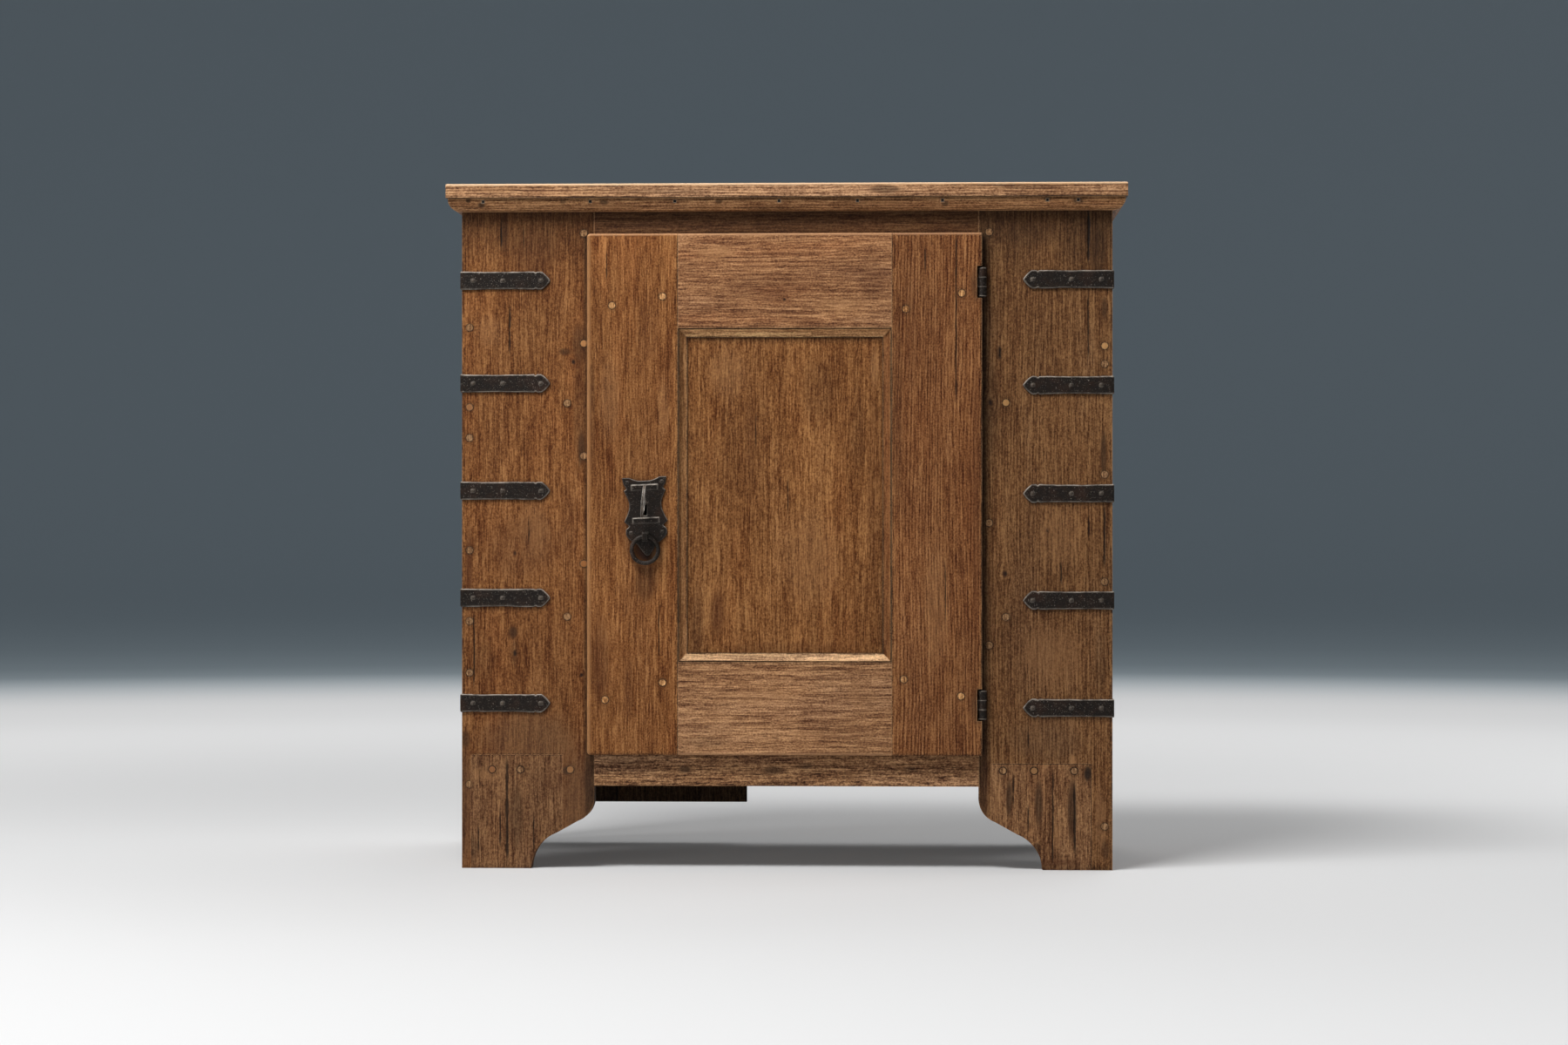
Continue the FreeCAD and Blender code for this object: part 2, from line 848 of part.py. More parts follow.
def moulding_strip(name, length, mitres):
    """A moulded strip along the local X axis that faces the local -Y side,
    sawn at 45 degrees at the ends that mitres names (-1 and 1)."""
    body = new_body(name)
    reach = S.moulding_projection
    half = length / 2
    corners = [(-x, z, *[-bulge for bulge in rest]) for x, z, *rest in moulding_corners()]
    full = half + reach
    profile = outline(body, "YZ_Plane", corners)
    pad(body, profile, full * 2, both=True)
    for end in (-1, 1):
        tip = ZERO if end not in mitres else reach
        spare = full + S.overrun
        waste = [
            (half * end, S.overrun),
            (half * end, ZERO),
            ((half + tip) * end, -reach),
            ((half + tip) * end, -(reach + S.overrun)),
            (spare * end, -(reach + S.overrun)),
            (spare * end, S.overrun),
        ]
        sketch = outline(body, "XY_Plane", waste)
        pocket(body, sketch, S.moulding_height * 3, both=True)
    return body


def make_carcass():
    strap_sets = make_straps()
    front_pegs = {side: group("front_pegs", make_front_pegs(side)) for side in (-1, 1)}
    top_pegs = group("top_pegs", make_top_pegs())
    piece("carcass_pegs", group("carcass_pegs", [*front_pegs.values(), top_pegs]))
    moulding_set = moulding_nails()
    back_set = back_nails()
    piece("carcass_nails", group("carcass_nails", [moulding_set, back_set]))
    top_z = (OPENING_TOP, S.carcass_height)
    bottom_z = (S.rail_underside_height, OPENING_BOTTOM)
    top_rail = frame_rail("front_rail_top", top_z)
    bottom_rail = frame_rail("front_rail_bottom", bottom_z)
    leaves = {level: frame_leaf(level) for level in ("upper", "lower")}
    floor_board = across_depth(
        "floor_board", (FLOOR_BOTTOM, OPENING_BOTTOM), SIDE_INNER + S.dado_depth
    )
    shelves = {}
    for name, level in (("lower", S.shelf_lower_level), ("upper", S.shelf_upper_level)):
        half = S.shelf_thickness / 2
        board = across_depth("shelf_" + name, (level - half, level + half), SIDE_INNER)
        tools = [*front_pegs.values(), back_set]
        shelves[name] = cut("shelf_" + name, board, tools)
    for name, side, straps in (("left", -1, strap_sets[0]), ("right", 1, strap_sets[1])):
        pegs = front_pegs[side]
        blank = stile_blank("stile_" + name, side)
        block = patch_block(side)
        joined = [top_rail, bottom_rail]
        if side > 0:
            joined += leaves.values()
        fixings = [pegs, top_pegs, straps, moulding_set]
        stile = cut("front_stile_" + name, blank, block, joined, fixings)
        piece("front_stile_" + name, stile)
        patch = common("patch", blank, block)
        patch = cut("foot_patch_" + name, patch, bottom_rail, pegs)
        piece("foot_patch_" + name, patch)
        rear = side_board("side_rear_" + name, side, True)
        tongue_y = (SIDE_MIDDLE - S.tongue_length, SIDE_MIDDLE)
        middle = (RIGHT - S.side_thickness / 2) * side
        thick = S.tongue_thickness / 2
        tongue = box(
            "tongue", (middle - thick, middle + thick), tongue_y,
            (S.rail_underside_height, S.carcass_height),
        )
        front = side_board("side_front_" + name, side, False)
        front_tools = [tongue, floor_board, pegs, straps]
        front = cut("side_front_" + name, front, front_tools)
        piece(f"side_{name}_front_board", front)
        rear = cut("side_rear_" + name, fuse("tongued", rear, tongue), floor_board)
        piece(f"side_{name}_rear_board", rear)
    fixings = [*front_pegs.values(), top_pegs, moulding_set]
    piece("front_rail_top", cut("front_rail_top", top_rail, fixings))
    bottom_rail = cut("front_rail_bottom", bottom_rail, [*front_pegs.values()])
    piece("front_rail_bottom", bottom_rail)
    piece("floor_board", cut("floor_board", floor_board, back_set))
    piece("shelf_lower", shelves["lower"])
    piece("shelf_upper", shelves["upper"])
    piece("shelf_bearers", make_bearers())
    make_back(back_set)
    make_top(top_pegs, moulding_set)
    for level, leaf in leaves.items():
        piece(f"hinge_{level}_frame_leaf", leaf)


def make_back(nails):
    edges = plank_edges()
    for number, (low, high) in enumerate(zip(edges, edges[1:]), start=1):
        gap = S.back_gap_long if number <= 2 else S.back_gap_short
        plank = box("plank", (low, high), (PLANK_FRONT, BACK), (gap, S.carcass_height))
        piece(f"back_plank_{number}", cut("back_plank", plank, nails))


def make_top(pegs, nails):
    """Two boards, tongued together, and the moulding under their edge."""
    reach = RIGHT + S.top_side_overhang
    edge = FRONT - S.top_front_overhang
    joint = edge + S.top_front_board_depth
    z = (S.carcass_height, TOP_FACE)
    middle = (S.carcass_height + TOP_FACE) / 2
    thick = S.tongue_thickness / 2
    tongue = box(
        "top_tongue", (-reach, reach), (joint - S.tongue_length, joint),
        (middle - thick, middle + thick),
    )
    body = new_body("top_front")
    corners = [(-reach, edge), (reach, edge), (reach, joint), (-reach, joint)]
    pad(body, outline(body, "XY_Plane", corners), S.top_thickness)
    worn = S.top_thickness.number

    def front_arris(edge_shape):
        at_top = flat_at(edge_shape, "z", worn)
        return at_top and not flat_at(edge_shape, "y", joint.number)

    round_edges(body, S.top_arris_radius, front_arris)
    put(body, z=S.carcass_height)
    piece("top_board_front", cut("top_board_front", body, [tongue, pegs]))
    rear = box("top_rear", (-reach, reach), (joint, BACK), z)
    piece("top_board_rear", fuse("top_board_rear", rear, tongue))
    front = moulding_strip("top_moulding_front", S.carcass_width, (-1, 1))
    put(front, y=FRONT, z=MOULDING_BOTTOM)
    piece("top_moulding_front", cut("top_moulding_front", front, nails))
    for name, side, mitre in (("left", -1, 1), ("right", 1, -1)):
        strip = moulding_strip("top_moulding_" + name, S.carcass_depth, (mitre,))
        turn = Rotation(Vector(0, 0, 1), 90 * side)
        put(strip, RIGHT * side, (FRONT + BACK) / 2, MOULDING_BOTTOM, turn)
        piece("top_moulding_" + name, strip)


# Hinges


def knuckle_z(level, number):
    """Low and high side of one of a hinge's three knuckles, from the bottom."""
    middle = S.hinge_upper_level if level == "upper" else S.hinge_lower_level
    step = S.knuckle_height + S.knuckle_gap
    low = middle + step * (number - 1) - S.knuckle_height / 2
    return (low, low + S.knuckle_height)


def leaf_z(level):
    return (knuckle_z(level, 0)[0], knuckle_z(level, 2)[1])


def knuckle(level, number):
    low = knuckle_z(level, number)[0]
    radius = S.knuckle_diameter / 2
    return cylinder("knuckle", radius, S.knuckle_height, HINGE_X, HINGE_Y, low)


def pin_bore(level):
    low, high = leaf_z(level)
    radius = S.pin_diameter / 2 + S.pin_play
    length = high - low + S.overrun * 2
    return cylinder("pin_bore", radius, length, HINGE_X, HINGE_Y, low - S.overrun)


def frame_leaf(level):
    """The leaf let into the carcass stile, with the two outer knuckles."""
    x = (OPENING_HALF, OPENING_HALF + S.leaf_thickness)
    plate_start = FRONT + S.pin_head_height / 2
    parts = [box("leaf", x, (plate_start, FRONT + S.frame_leaf_width), leaf_z(level))]
    for number in (0, 2):
        parts.append(box("tab", x, (HINGE_Y, plate_start), knuckle_z(level, number)))
        parts.append(knuckle(level, number))
    return cut("frame_leaf", fuse("frame_leaf_solid", *parts), pin_bore(level))


def door_leaf(level):
    """The leaf let into the door's edge, cranked round to the middle knuckle."""
    x = (REBATE_RIGHT - S.leaf_thickness, REBATE_RIGHT)
    half = S.leaf_thickness / 2
    plate_start = FRONT + S.pin_head_height / 2
    middle = knuckle_z(level, 1)
    parts = [
        box("leaf", x, (plate_start, DOOR_BACK), leaf_z(level)),
        box("tab", x, (HINGE_Y - half, plate_start), middle),
        box("crank", (x[0], HINGE_X), (HINGE_Y - half, HINGE_Y + half), middle),
        knuckle(level, 1),
    ]
    return cut("door_leaf", fuse("door_leaf_solid", *parts), pin_bore(level))


def hinge_pin(level):
    """A pin with a low head riveted over at each end."""
    body = new_body("hinge_pin_" + level)
    low, high = leaf_z(level)
    half = (high - low) / 2
    rim = S.knuckle_diameter / 2 * 0.94
    shank = S.pin_diameter / 2
    end = half + S.pin_head_height
    crown = rim * 0.55
    corners = [
        (ZERO, -end),
        (crown, -end, 0.3),
        (rim, -half),
        (shank, -half),
        (shank, half),
        (rim, half, 0.3),
        (crown, end),
        (ZERO, end),
    ]
    revolve(body, outline(body, "XZ_Plane", corners))
    return put(body, HINGE_X, HINGE_Y, (low + high) / 2)


# Door

# Pegs of the door's joints, as shares of its width and height
DOOR_PEG_SHARES = (
    (0.0638, 0.862), (0.192, 0.879), (0.808, 0.854), (0.949, 0.884),
    (0.0462, 0.106), (0.192, 0.139), (0.803, 0.146), (0.947, 0.114),
)


def door_envelope():
    """The whole door in one block: a lip with worn edges and a rebate."""
    body = new_body("door_envelope")
    r = S.door_corner_radius
    left, right, low, high = DOOR_LEFT, DOOR_RIGHT, DOOR_BOTTOM, DOOR_TOP
    lip = [
        (left + r, low),
        (right, low),
        (right, high),
        (left + r, high, QUARTER_SHARE),
        (left, high - r),
        (left, low + r, QUARTER_SHARE),
    ]
    pad(body, outline(body, "XZ_Plane", lip), S.lip_thickness)
    face = -S.lip_thickness.number

    def free_arris(edge):
        return flat_at(edge, "y", face) and not flat_at(edge, "x", right.number)

    round_edges(body, S.door_arris_radius, free_arris)
    low, high = OPENING_BOTTOM + S.rebate_clearance, OPENING_TOP - S.rebate_clearance
    rebate = [
        (REBATE_LEFT, low), (REBATE_RIGHT, low), (REBATE_RIGHT, high), (REBATE_LEFT, high),
    ]
    depth = S.lip_gap + S.rebate_depth
    pad(body, outline(body, "XZ_Plane", rebate), depth, away=True)
    return put(body, y=LIP_BACK)


def door_pegs():
    pegs = []
    for across, up in DOOR_PEG_SHARES:
        x = DOOR_LEFT + (DOOR_RIGHT - DOOR_LEFT) * across
        z = DOOR_BOTTOM + (DOOR_TOP - DOOR_BOTTOM) * up
        y = DOOR_FACE - S.peg_proud
        length = S.door_peg_length + S.peg_proud
        pegs.append(peg("door_peg", S.peg_diameter, length, x, y, z, INWARD))
    return group("door_pegs", pegs)


def door_rail(name, envelope, z, groove, pegs, inner_side):
    """A rail of the door, tenoned into both stiles."""
    y = (DOOR_FACE - S.overrun, DOOR_BACK + S.overrun)
    block = box("rail_block", (PANEL_LEFT, PANEL_RIGHT), y, z)
    trimmed = (z[0] + S.door_tenon_shoulder, z[1] - S.door_tenon_shoulder)
    setback, thickness = S.door_tenon_setback, S.door_tenon_thickness
    tenons = [
        tenon("door_tenon", (PANEL_LEFT - S.door_tenon_length, PANEL_LEFT), trimmed,
              setback, thickness, DOOR_FACE),
        tenon("door_tenon", (PANEL_RIGHT, PANEL_RIGHT + S.door_tenon_length), trimmed,
              setback, thickness, DOOR_FACE),
    ]
    blank = fuse(name, common(name, envelope, block), *tenons)
    piece(name, cut(name, blank, [groove, pegs]))
    return tenons


def door_panel():
    """The panel: its edges are bevelled down to slide into the grooves."""
    body = new_body("door_panel_body")
    reach = S.groove_depth - S.panel_play
    left, right = PANEL_LEFT - reach, PANEL_RIGHT + reach
    low, high = PANEL_BOTTOM - reach, PANEL_TOP + reach
    corners = [(left, low), (right, low), (right, high), (left, high)]
    pad(body, outline(body, "XZ_Plane", corners), S.panel_thickness)
    doc.recompute()
    base = body.Tip
    face = -S.panel_thickness.number
    front = [
        f"Face{number}"
        for number, shape in enumerate(base.Shape.Faces, start=1)
        if all(near(vertex.Point.y, face) for vertex in shape.Vertexes)
    ]
    bevel = body.newObject("PartDesign::Chamfer", "panel_bevel")
    bevel.Base = (base, front)
    bevel.ChamferType = "Two distances"
    bind(bevel, "Size", S.panel_bevel_depth)
    bind(bevel, "Size2", S.panel_bevel_width)
    body.Tip = bevel
    return put(body, y=PANEL_FACE + S.panel_thickness)


def bead_corners():
    """Profile of the bead round the panel: inward over the panel, and depth.
    A narrow quirk lies against the frame, then a quarter round falls away."""
    top = S.bead_depth
    quirk = S.bead_quirk
    return [
        (ZERO, ZERO),
        (S.bead_width, ZERO),
        (S.bead_width, quirk),
        (S.bead_width - quirk / 2, quirk, 0.36),
        (quirk, top),
        (quirk, top - quirk),
        (ZERO, top - quirk),
    ]


def bead_strip(name, length, x, z, turn):
    """A bead along the local X axis, with its frame side at the local origin
    and its width along local Z, sawn at 45 degrees at both ends."""
    body = new_body(name)
    corners = [(-depth, across, *[-b for b in rest]) for across, depth, *rest in bead_corners()]
    pad(body, outline(body, "YZ_Plane", corners), length, both=True)
    half = length / 2
    width = S.bead_width
    for end in (-1, 1):
        waste = [
            (half * end, ZERO),
            ((half + S.overrun) * end, -S.overrun),
            ((half + S.overrun) * end, width + S.overrun),
            ((half - width - S.overrun) * end, width + S.overrun),
        ]
        pocket(body, outline(body, "XZ_Plane", waste), S.bead_depth * 4, both=True)
    y = DOOR_FACE + S.bead_setback + S.bead_depth
    return put(body, x, y, z, turn)


def make_beads():
    middle_x = (PANEL_LEFT + PANEL_RIGHT) / 2
    middle_z = (PANEL_BOTTOM + PANEL_TOP) / 2
    wide = PANEL_RIGHT - PANEL_LEFT
    tall = PANEL_TOP - PANEL_BOTTOM
    for name, length, x, z, degrees in (
        ("bottom", wide, middle_x, PANEL_BOTTOM, 0),
        ("left", tall, PANEL_LEFT, middle_z, 90),
        ("top", wide, middle_x, PANEL_TOP, 180),
        ("right", tall, PANEL_RIGHT, middle_z, 270),
    ):
        turn = Rotation(Vector(0, 1, 0), degrees)
        piece("door_bead_" + name, bead_strip("bead_" + name, length, x, z, turn))


def hinge_notch(level):
    """The full notch through the lip in which the barrel turns."""
    low, high = leaf_z(level)
    room = S.pin_head_height + S.barrel_clearance
    x = (REBATE_RIGHT, DOOR_RIGHT + S.overrun)
    y = (DOOR_FACE - S.overrun, LIP_BACK + S.lip_gap / 2)
    return box("hinge_notch", x, y, (low - room, high + room))


def make_door():
    envelope = door_envelope()
    pegs = piece("door_pegs", door_pegs())
    reach = S.groove_depth
    groove_face = PANEL_FACE + S.panel_bevel_depth - S.bead_quirk / 4
    groove = box(
        "panel_groove", (PANEL_LEFT - reach, PANEL_RIGHT + reach),
        (groove_face, PANEL_FACE + S.panel_thickness),
        (PANEL_BOTTOM - reach, PANEL_TOP + reach),
    )
    far = S.overrun
    top_tenons = door_rail(
        "door_rail_top", envelope, (PANEL_TOP, DOOR_TOP + far), groove, pegs, -1
    )
    bottom_tenons = door_rail(
        "door_rail_bottom", envelope, (DOOR_BOTTOM - far, PANEL_BOTTOM), groove, pegs, 1
    )
    leaves = {level: door_leaf(level) for level in ("upper", "lower")}
    nails = piece("plate_nails", nail_group("plate_nails", plate_nails()))
    keyhole = keyhole_tool()
    staple = ring_staple()
    y = (DOOR_FACE - far, DOOR_BACK + far)
    z = (DOOR_BOTTOM - far, DOOR_TOP + far)
    lock_block = box("lock_block", (DOOR_LEFT - far, PANEL_LEFT), y, z)
    lock_stile = common("lock_stile", envelope, lock_block)
    pierced = [top_tenons[0], bottom_tenons[0], keyhole, staple, nails]
    piece("door_stile_lock", cut("door_stile_lock", lock_stile, pierced, [groove, pegs]))
    hinge_block = box("hinge_block", (PANEL_RIGHT, DOOR_RIGHT + far), y, z)
    hinge_stile = common("hinge_stile", envelope, hinge_block)
    pierced = [top_tenons[1], bottom_tenons[1]] + [hinge_notch(level) for level in leaves]
    tools = (pierced, [groove, pegs, *leaves.values()])
    piece("door_stile_hinge", cut("door_stile_hinge", hinge_stile, *tools))
    piece("door_panel", door_panel())
    make_beads()
    for level, leaf in leaves.items():
        piece(f"hinge_{level}_door_leaf", leaf)
    pins = [hinge_pin(level) for level in leaves]
    piece("hinge_pins", group("hinge_pins", pins))
    plate = cut("lock_plate", lock_plate(), [keyhole, staple, nails])
    piece("lock_plate", plate)
    piece("ring_staple", staple)
    piece("ring_pull", ring_pull())
    piece("key", key())
    piece("lock_case", lock_case())
    piece("lock_bolt", lock_bolt())
    piece("lock_keeper", lock_keeper())


# Lock plate, staple and ring

# The right half of the plate from its top middle, as shares of half its width
# and of its height, measured down from the top corners
PLATE_SHARES = (
    (0.0, 0.045),
    (0.24, 0.045, 0.1),
    (0.67, 0.0),
    (1.0, 0.0),
    (0.94, 0.085, 0.08),
    (0.815, 0.143),
    (0.94, 0.167),
    (0.815, 0.245, 0.05),
    (0.715, 0.33),
    (0.735, 0.4, 0.06),
    (0.985, 0.556),
    (0.75, 0.618),
    (0.91, 0.655, -0.12),
    (0.905, 0.735, -0.15),
    (0.6, 0.817),
    (0.41, 0.855, -0.06),
    (0.09, 0.99, -0.35),
)
PLATE_NAIL_SHARES = ((-0.78, 0.06), (0.78, 0.06), (-0.7, 0.7), (0.7, 0.7))
BAR_LEVEL_SHARES = (0.13, 0.552)


def plate_spot(across, down):
    """A place on the plate, from the keyhole's centre."""
    x = S.plate_width / 2 * across
    z = S.plate_top_rise - S.plate_height * down
    return x, z


def lock_plate():
    """The cut-out iron plate with two raised bars, before it is pierced."""
    body = new_body("lock_plate_body")
    right = [
        (*plate_spot(across, down), *bulge) for across, down, *bulge in PLATE_SHARES
    ]
    corners = mirror_outline(right)
    pad(body, outline(body, "XZ_Plane", corners), S.plate_thickness)
    for level in BAR_LEVEL_SHARES:
        half = S.plate_bar_width / 2
        middle = plate_spot(0, level)[1]
        low, high = middle - S.plate_bar_height / 2, middle + S.plate_bar_height / 2
        bar = [(-half, low), (half, low), (half, high), (-half, high)]
        depth = S.plate_thickness + S.plate_bar_thickness
        pad(body, outline(body, "XZ_Plane", bar), depth)
    lean = Rotation(Vector(0, 1, 0), PLATE_LEAN_DEGREES)
    return put(body, KEY_X, DOOR_FACE, S.keyhole_level, lean)


def mirror_outline(right):
    """Close an outline from its right half, which runs from the top to the
    bottom; the mirrored half runs back up."""
    corners = list(right)
    sides = [corner[2:] for corner in right]
    for number in range(len(right) - 1, 0, -1):
        x, z = right[number][:2]
        bulge = sides[number - 1]
        if number == len(right) - 1:
            corners[-1] = (x, z, *sides[-1])
        corners.append((-x, z, *bulge))
    return corners


def plate_nails():
    shape = nail_shape(
        (S.nail_head_width * 0.75).number, (S.nail_head_height / 2).number,
        S.plate_nail_length.number,
    )
    turn = Rotation(Vector(0, 1, 0), PLATE_LEAN_DEGREES)
    nails = []
    for across, down in PLATE_NAIL_SHARES:
        x, z = plate_spot(across, down)
        offset = turn.multVec(Vector(x.number, 0, z.number))
        centre = Vector(KEY_X.number, PLATE_FACE.number, S.keyhole_level.number)
        nails.append((shape, centre + offset, Vector(0, -1, 0)))
    return nails


def keyhole_tool():
    """A round hole for the shank and a slot below it for the bit."""
    start = PLATE_FACE - S.overrun
    length = DOOR_BACK - PLATE_FACE + S.overrun * 2
    hole = cylinder(
        "keyhole", S.keyhole_diameter / 2, length, KEY_X, start, S.keyhole_level, INWARD
    )
    half = S.keyhole_slot_width / 2
    slot = box(
        "keyhole_slot", (KEY_X - half, KEY_X + half), (start, start + length),
        (S.keyhole_level - S.keyhole_drop, S.keyhole_level),
    )
    return fuse("keyhole_tool", hole, slot)


def ring_staple():
    """An iron loop round the ring's wire, with legs driven into the door."""
    body = new_body("ring_staple_body")
    room = S.ring_wire / 2 + S.staple_play
    outer = room + S.staple_wire
    centre = RING_Y
    nose = centre - outer
    round_off = S.staple_wire
    leg = PLATE_FACE + S.staple_leg
    corners = [
        (leg, -outer),
        (nose + round_off, -outer, -QUARTER_SHARE),
        (nose, -outer + round_off),
        (nose, outer - round_off, -QUARTER_SHARE),
        (nose + round_off, outer),
        (leg, outer),
        (leg, room),
        (centre - room, room),
        (centre - room, -room),
        (leg, -room),
    ]
    pad(body, outline(body, "YZ_Plane", corners), S.staple_width, both=True)
    return put(body, KEY_X, ZERO, STAPLE_Z)


def ring_pull():
    item = doc.addObject("Part::Torus", "ring")
    bind(item, "Radius1", S.ring_radius)
    bind(item, "Radius2", S.ring_wire / 2)
    return put(item, KEY_X, RING_Y, STAPLE_Z - S.ring_radius, INWARD)


# Key, bolt, case and keeper

# The bow: an oval drawn with four arcs
BOW_SHARE = 0.36


def oval(middle, half_width, half_height, bulge):
    return [
        (-half_width, middle, bulge),
        (ZERO, middle - half_height, bulge),
        (half_width, middle, bulge),
        (ZERO, middle + half_height, bulge),
    ]


def key():
    """Local Z runs out of the lock along the shank, local Y is up."""
    body = new_body("key_body")
    shank = S.shank_diameter / 2
    collar = S.collar_diameter / 2
    tip = -(BOLT_BACK - PLATE_FACE)
    bow_low = S.key_reach - S.bow_depth
    top = bow_low + S.bow_rim / 2
    corners = [
        (ZERO, tip),
        (shank, tip),
        (shank, bow_low - S.collar_length * 2),
        (collar, bow_low - S.collar_length * 1.5),
        (collar, bow_low - S.collar_length / 2),
        (shank, bow_low),
        (shank, top),
        (ZERO, top),
    ]
    revolve(body, outline(body, "XZ_Plane", corners))
    middle = S.key_reach - S.bow_depth / 2
    outer = oval(middle, S.bow_height / 2, S.bow_depth / 2, BOW_SHARE)
    pad(body, outline(body, "YZ_Plane", outer), S.bow_thickness, both=True)
    rim = S.bow_rim
    inner = oval(middle, S.bow_height / 2 - rim, S.bow_depth / 2 - rim, BOW_SHARE)
    pocket(body, outline(body, "YZ_Plane", inner), S.shank_diameter * 2, both=True)
    low = tip + S.bit_thickness
    high = low + S.bit_width
    end = -S.bit_radius
    notch = S.bit_notch / 2
    centre = (low + high) / 2
    bit = [
        (ZERO, low), (ZERO, high), (end, high), (end, centre + notch),
        (end / 2, centre + notch), (end / 2, centre - notch),
        (end, centre - notch), (end, low),
    ]
    pad(body, outline(body, "YZ_Plane", bit), S.bit_thickness, both=True)
    upright = Rotation(Vector(1, 0, 0), 90)
    lean = Rotation(Vector(0, 1, 0), KEY_LEAN_DEGREES)
    return put(body, KEY_X, PLATE_FACE, S.keyhole_level, lean.multiply(upright))


def lock_bolt():
    """The bolt with a talon cut from its lower edge above the key."""
    body = new_body("lock_bolt_body")
    end = CASE_LEFT + S.bolt_length
    half = S.talon_width / 2
    # At rest the talon is half the travel to the right of the key
    middle = KEY_X + S.bolt_travel / 2
    talon = BOLT_BOTTOM + S.talon_depth
    corners = [
        (CASE_LEFT, BOLT_BOTTOM),
        (CASE_LEFT, BOLT_TOP),
        (end, BOLT_TOP),
        (end, BOLT_BOTTOM),
        (middle + half, BOLT_BOTTOM),
        (middle + half, talon),
        (middle - half, talon),
        (middle - half, BOLT_BOTTOM),
    ]
    pad(body, outline(body, "XZ_Plane", corners), S.bolt_thickness)
    return put(body, y=BOLT_BACK)


def lock_case():
    """An iron box against the back of the door, open towards it."""
    wall = S.case_wall
    play = S.bolt_play
    right = CASE_LEFT + S.case_length
    low = S.keyhole_level - S.bit_radius - S.bit_clearance - wall
    high = BOLT_TOP + play + wall
    block = box("case_block", (CASE_LEFT, right), (DOOR_BACK, CASE_BACK), (low, high))
    hollow = box(
        "case_hollow", (CASE_LEFT + wall, right - wall),
        (DOOR_BACK - S.overrun, CASE_BACK - wall), (low + wall, high - wall),
    )
    bolt_front = BOLT_BACK - S.bolt_thickness
    slot = box(
        "bolt_slot", (CASE_LEFT - S.overrun, CASE_LEFT + S.overrun),
        (bolt_front - play, BOLT_BACK + play),
        (BOLT_BOTTOM - play, BOLT_TOP + play),
    )
    shell = cut("case_shell", block, hollow, slot)
    guide = box(
        "bolt_guide", (CASE_LEFT + wall, CASE_LEFT + S.guide_length),
        (DOOR_BACK, CASE_BACK - wall),
        (BOLT_BOTTOM - play - wall * 2, BOLT_BOTTOM - play),
    )
    return fuse("lock_case", shell, guide)


def lock_keeper():
    """A loop on the back of the carcass stile that the bolt slides into."""
    play = S.keeper_play
    wire = S.keeper_wire
    right = -(OPENING_HALF + S.keeper_inset)
    x = (right - S.keeper_width, right)
    z = (BOLT_BOTTOM - play, BOLT_TOP + play)
    inner = BOLT_BACK + play
    block = box(
        "keeper_block", x, (FRAME_BACK, inner + wire), (z[0] - wire, z[1] + wire)
    )
    far = S.overrun
    hollow = box("keeper_hollow", (x[0] - far, x[1] + far), (FRAME_BACK - far, inner), z)
    return cut("lock_keeper", block, hollow)


make_carcass()
make_door()
doc.recompute()

for item in doc.Objects:
    if "Invalid" in item.State or "Error" in item.State:
        raise RuntimeError(f"{item.Name} ({item.Label}) is {item.State}")

os.makedirs("parts", exist_ok=True)
for item in pieces:
    shape = item.Shape
    if shape.isNull() or not shape.isValid():
        raise RuntimeError(f"{item.Label} has no valid shape")

for item in pieces:
    item.Shape.exportStep(os.path.join("parts", f"{item.Label}.step"))
    print(item.Label, len(item.Shape.Solids), round(item.Shape.Volume))
print(len(pieces), "sub-parts")
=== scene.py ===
import json
import math
import random

import bmesh
import bpy
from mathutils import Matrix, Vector, kdtree, noise


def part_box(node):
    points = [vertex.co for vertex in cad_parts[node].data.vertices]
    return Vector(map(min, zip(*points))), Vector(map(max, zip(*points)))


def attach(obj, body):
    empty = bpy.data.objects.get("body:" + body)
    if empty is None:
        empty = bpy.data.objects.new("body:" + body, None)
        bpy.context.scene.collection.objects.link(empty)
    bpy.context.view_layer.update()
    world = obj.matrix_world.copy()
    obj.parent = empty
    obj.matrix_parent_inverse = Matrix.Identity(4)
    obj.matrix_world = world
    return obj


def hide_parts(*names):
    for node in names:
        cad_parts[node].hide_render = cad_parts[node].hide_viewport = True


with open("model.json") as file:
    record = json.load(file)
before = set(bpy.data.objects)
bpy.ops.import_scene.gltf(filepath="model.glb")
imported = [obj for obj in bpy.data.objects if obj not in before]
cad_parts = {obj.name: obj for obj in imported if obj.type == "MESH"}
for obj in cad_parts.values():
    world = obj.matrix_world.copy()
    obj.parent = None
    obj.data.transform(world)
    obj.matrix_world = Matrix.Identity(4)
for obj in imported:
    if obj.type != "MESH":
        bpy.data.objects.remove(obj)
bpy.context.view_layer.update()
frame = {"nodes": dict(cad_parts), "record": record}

NODES = frame["nodes"]
SLOTS = {part["node"]: part["material_slot"] for part in frame["record"]["subparts"]}
SCENE = bpy.context.scene
RNG = random.Random(61)

# The photograph: metres to a pixel, its width, and the pixels of the cabinet's
# middle and of the floor
PIXEL = 0.00125
PHOTO_WIDTH = 1800
MIDDLE_PIXEL = 902.5
FLOOR_PIXEL = 998.5


def mm(value):
    """Millimetres to metres."""
    return value / 1000


def at(x, y):
    """Metres across and up on the front, from a pixel of the photograph."""
    return (x - MIDDLE_PIXEL) * PIXEL, (FLOOR_PIXEL - y) * PIXEL


# Mesh helpers

WELD = 0.00001


def link(name, data):
    """A new object in the scene."""
    item = bpy.data.objects.new(name, data)
    SCENE.collection.objects.link(item)
    return item


def node_bmesh(node):
    """A CAD node's mesh to work on, with its seams closed."""
    build = bmesh.new()
    build.from_mesh(NODES[node].data)
    bmesh.ops.remove_doubles(build, verts=build.verts, dist=WELD)
    return build


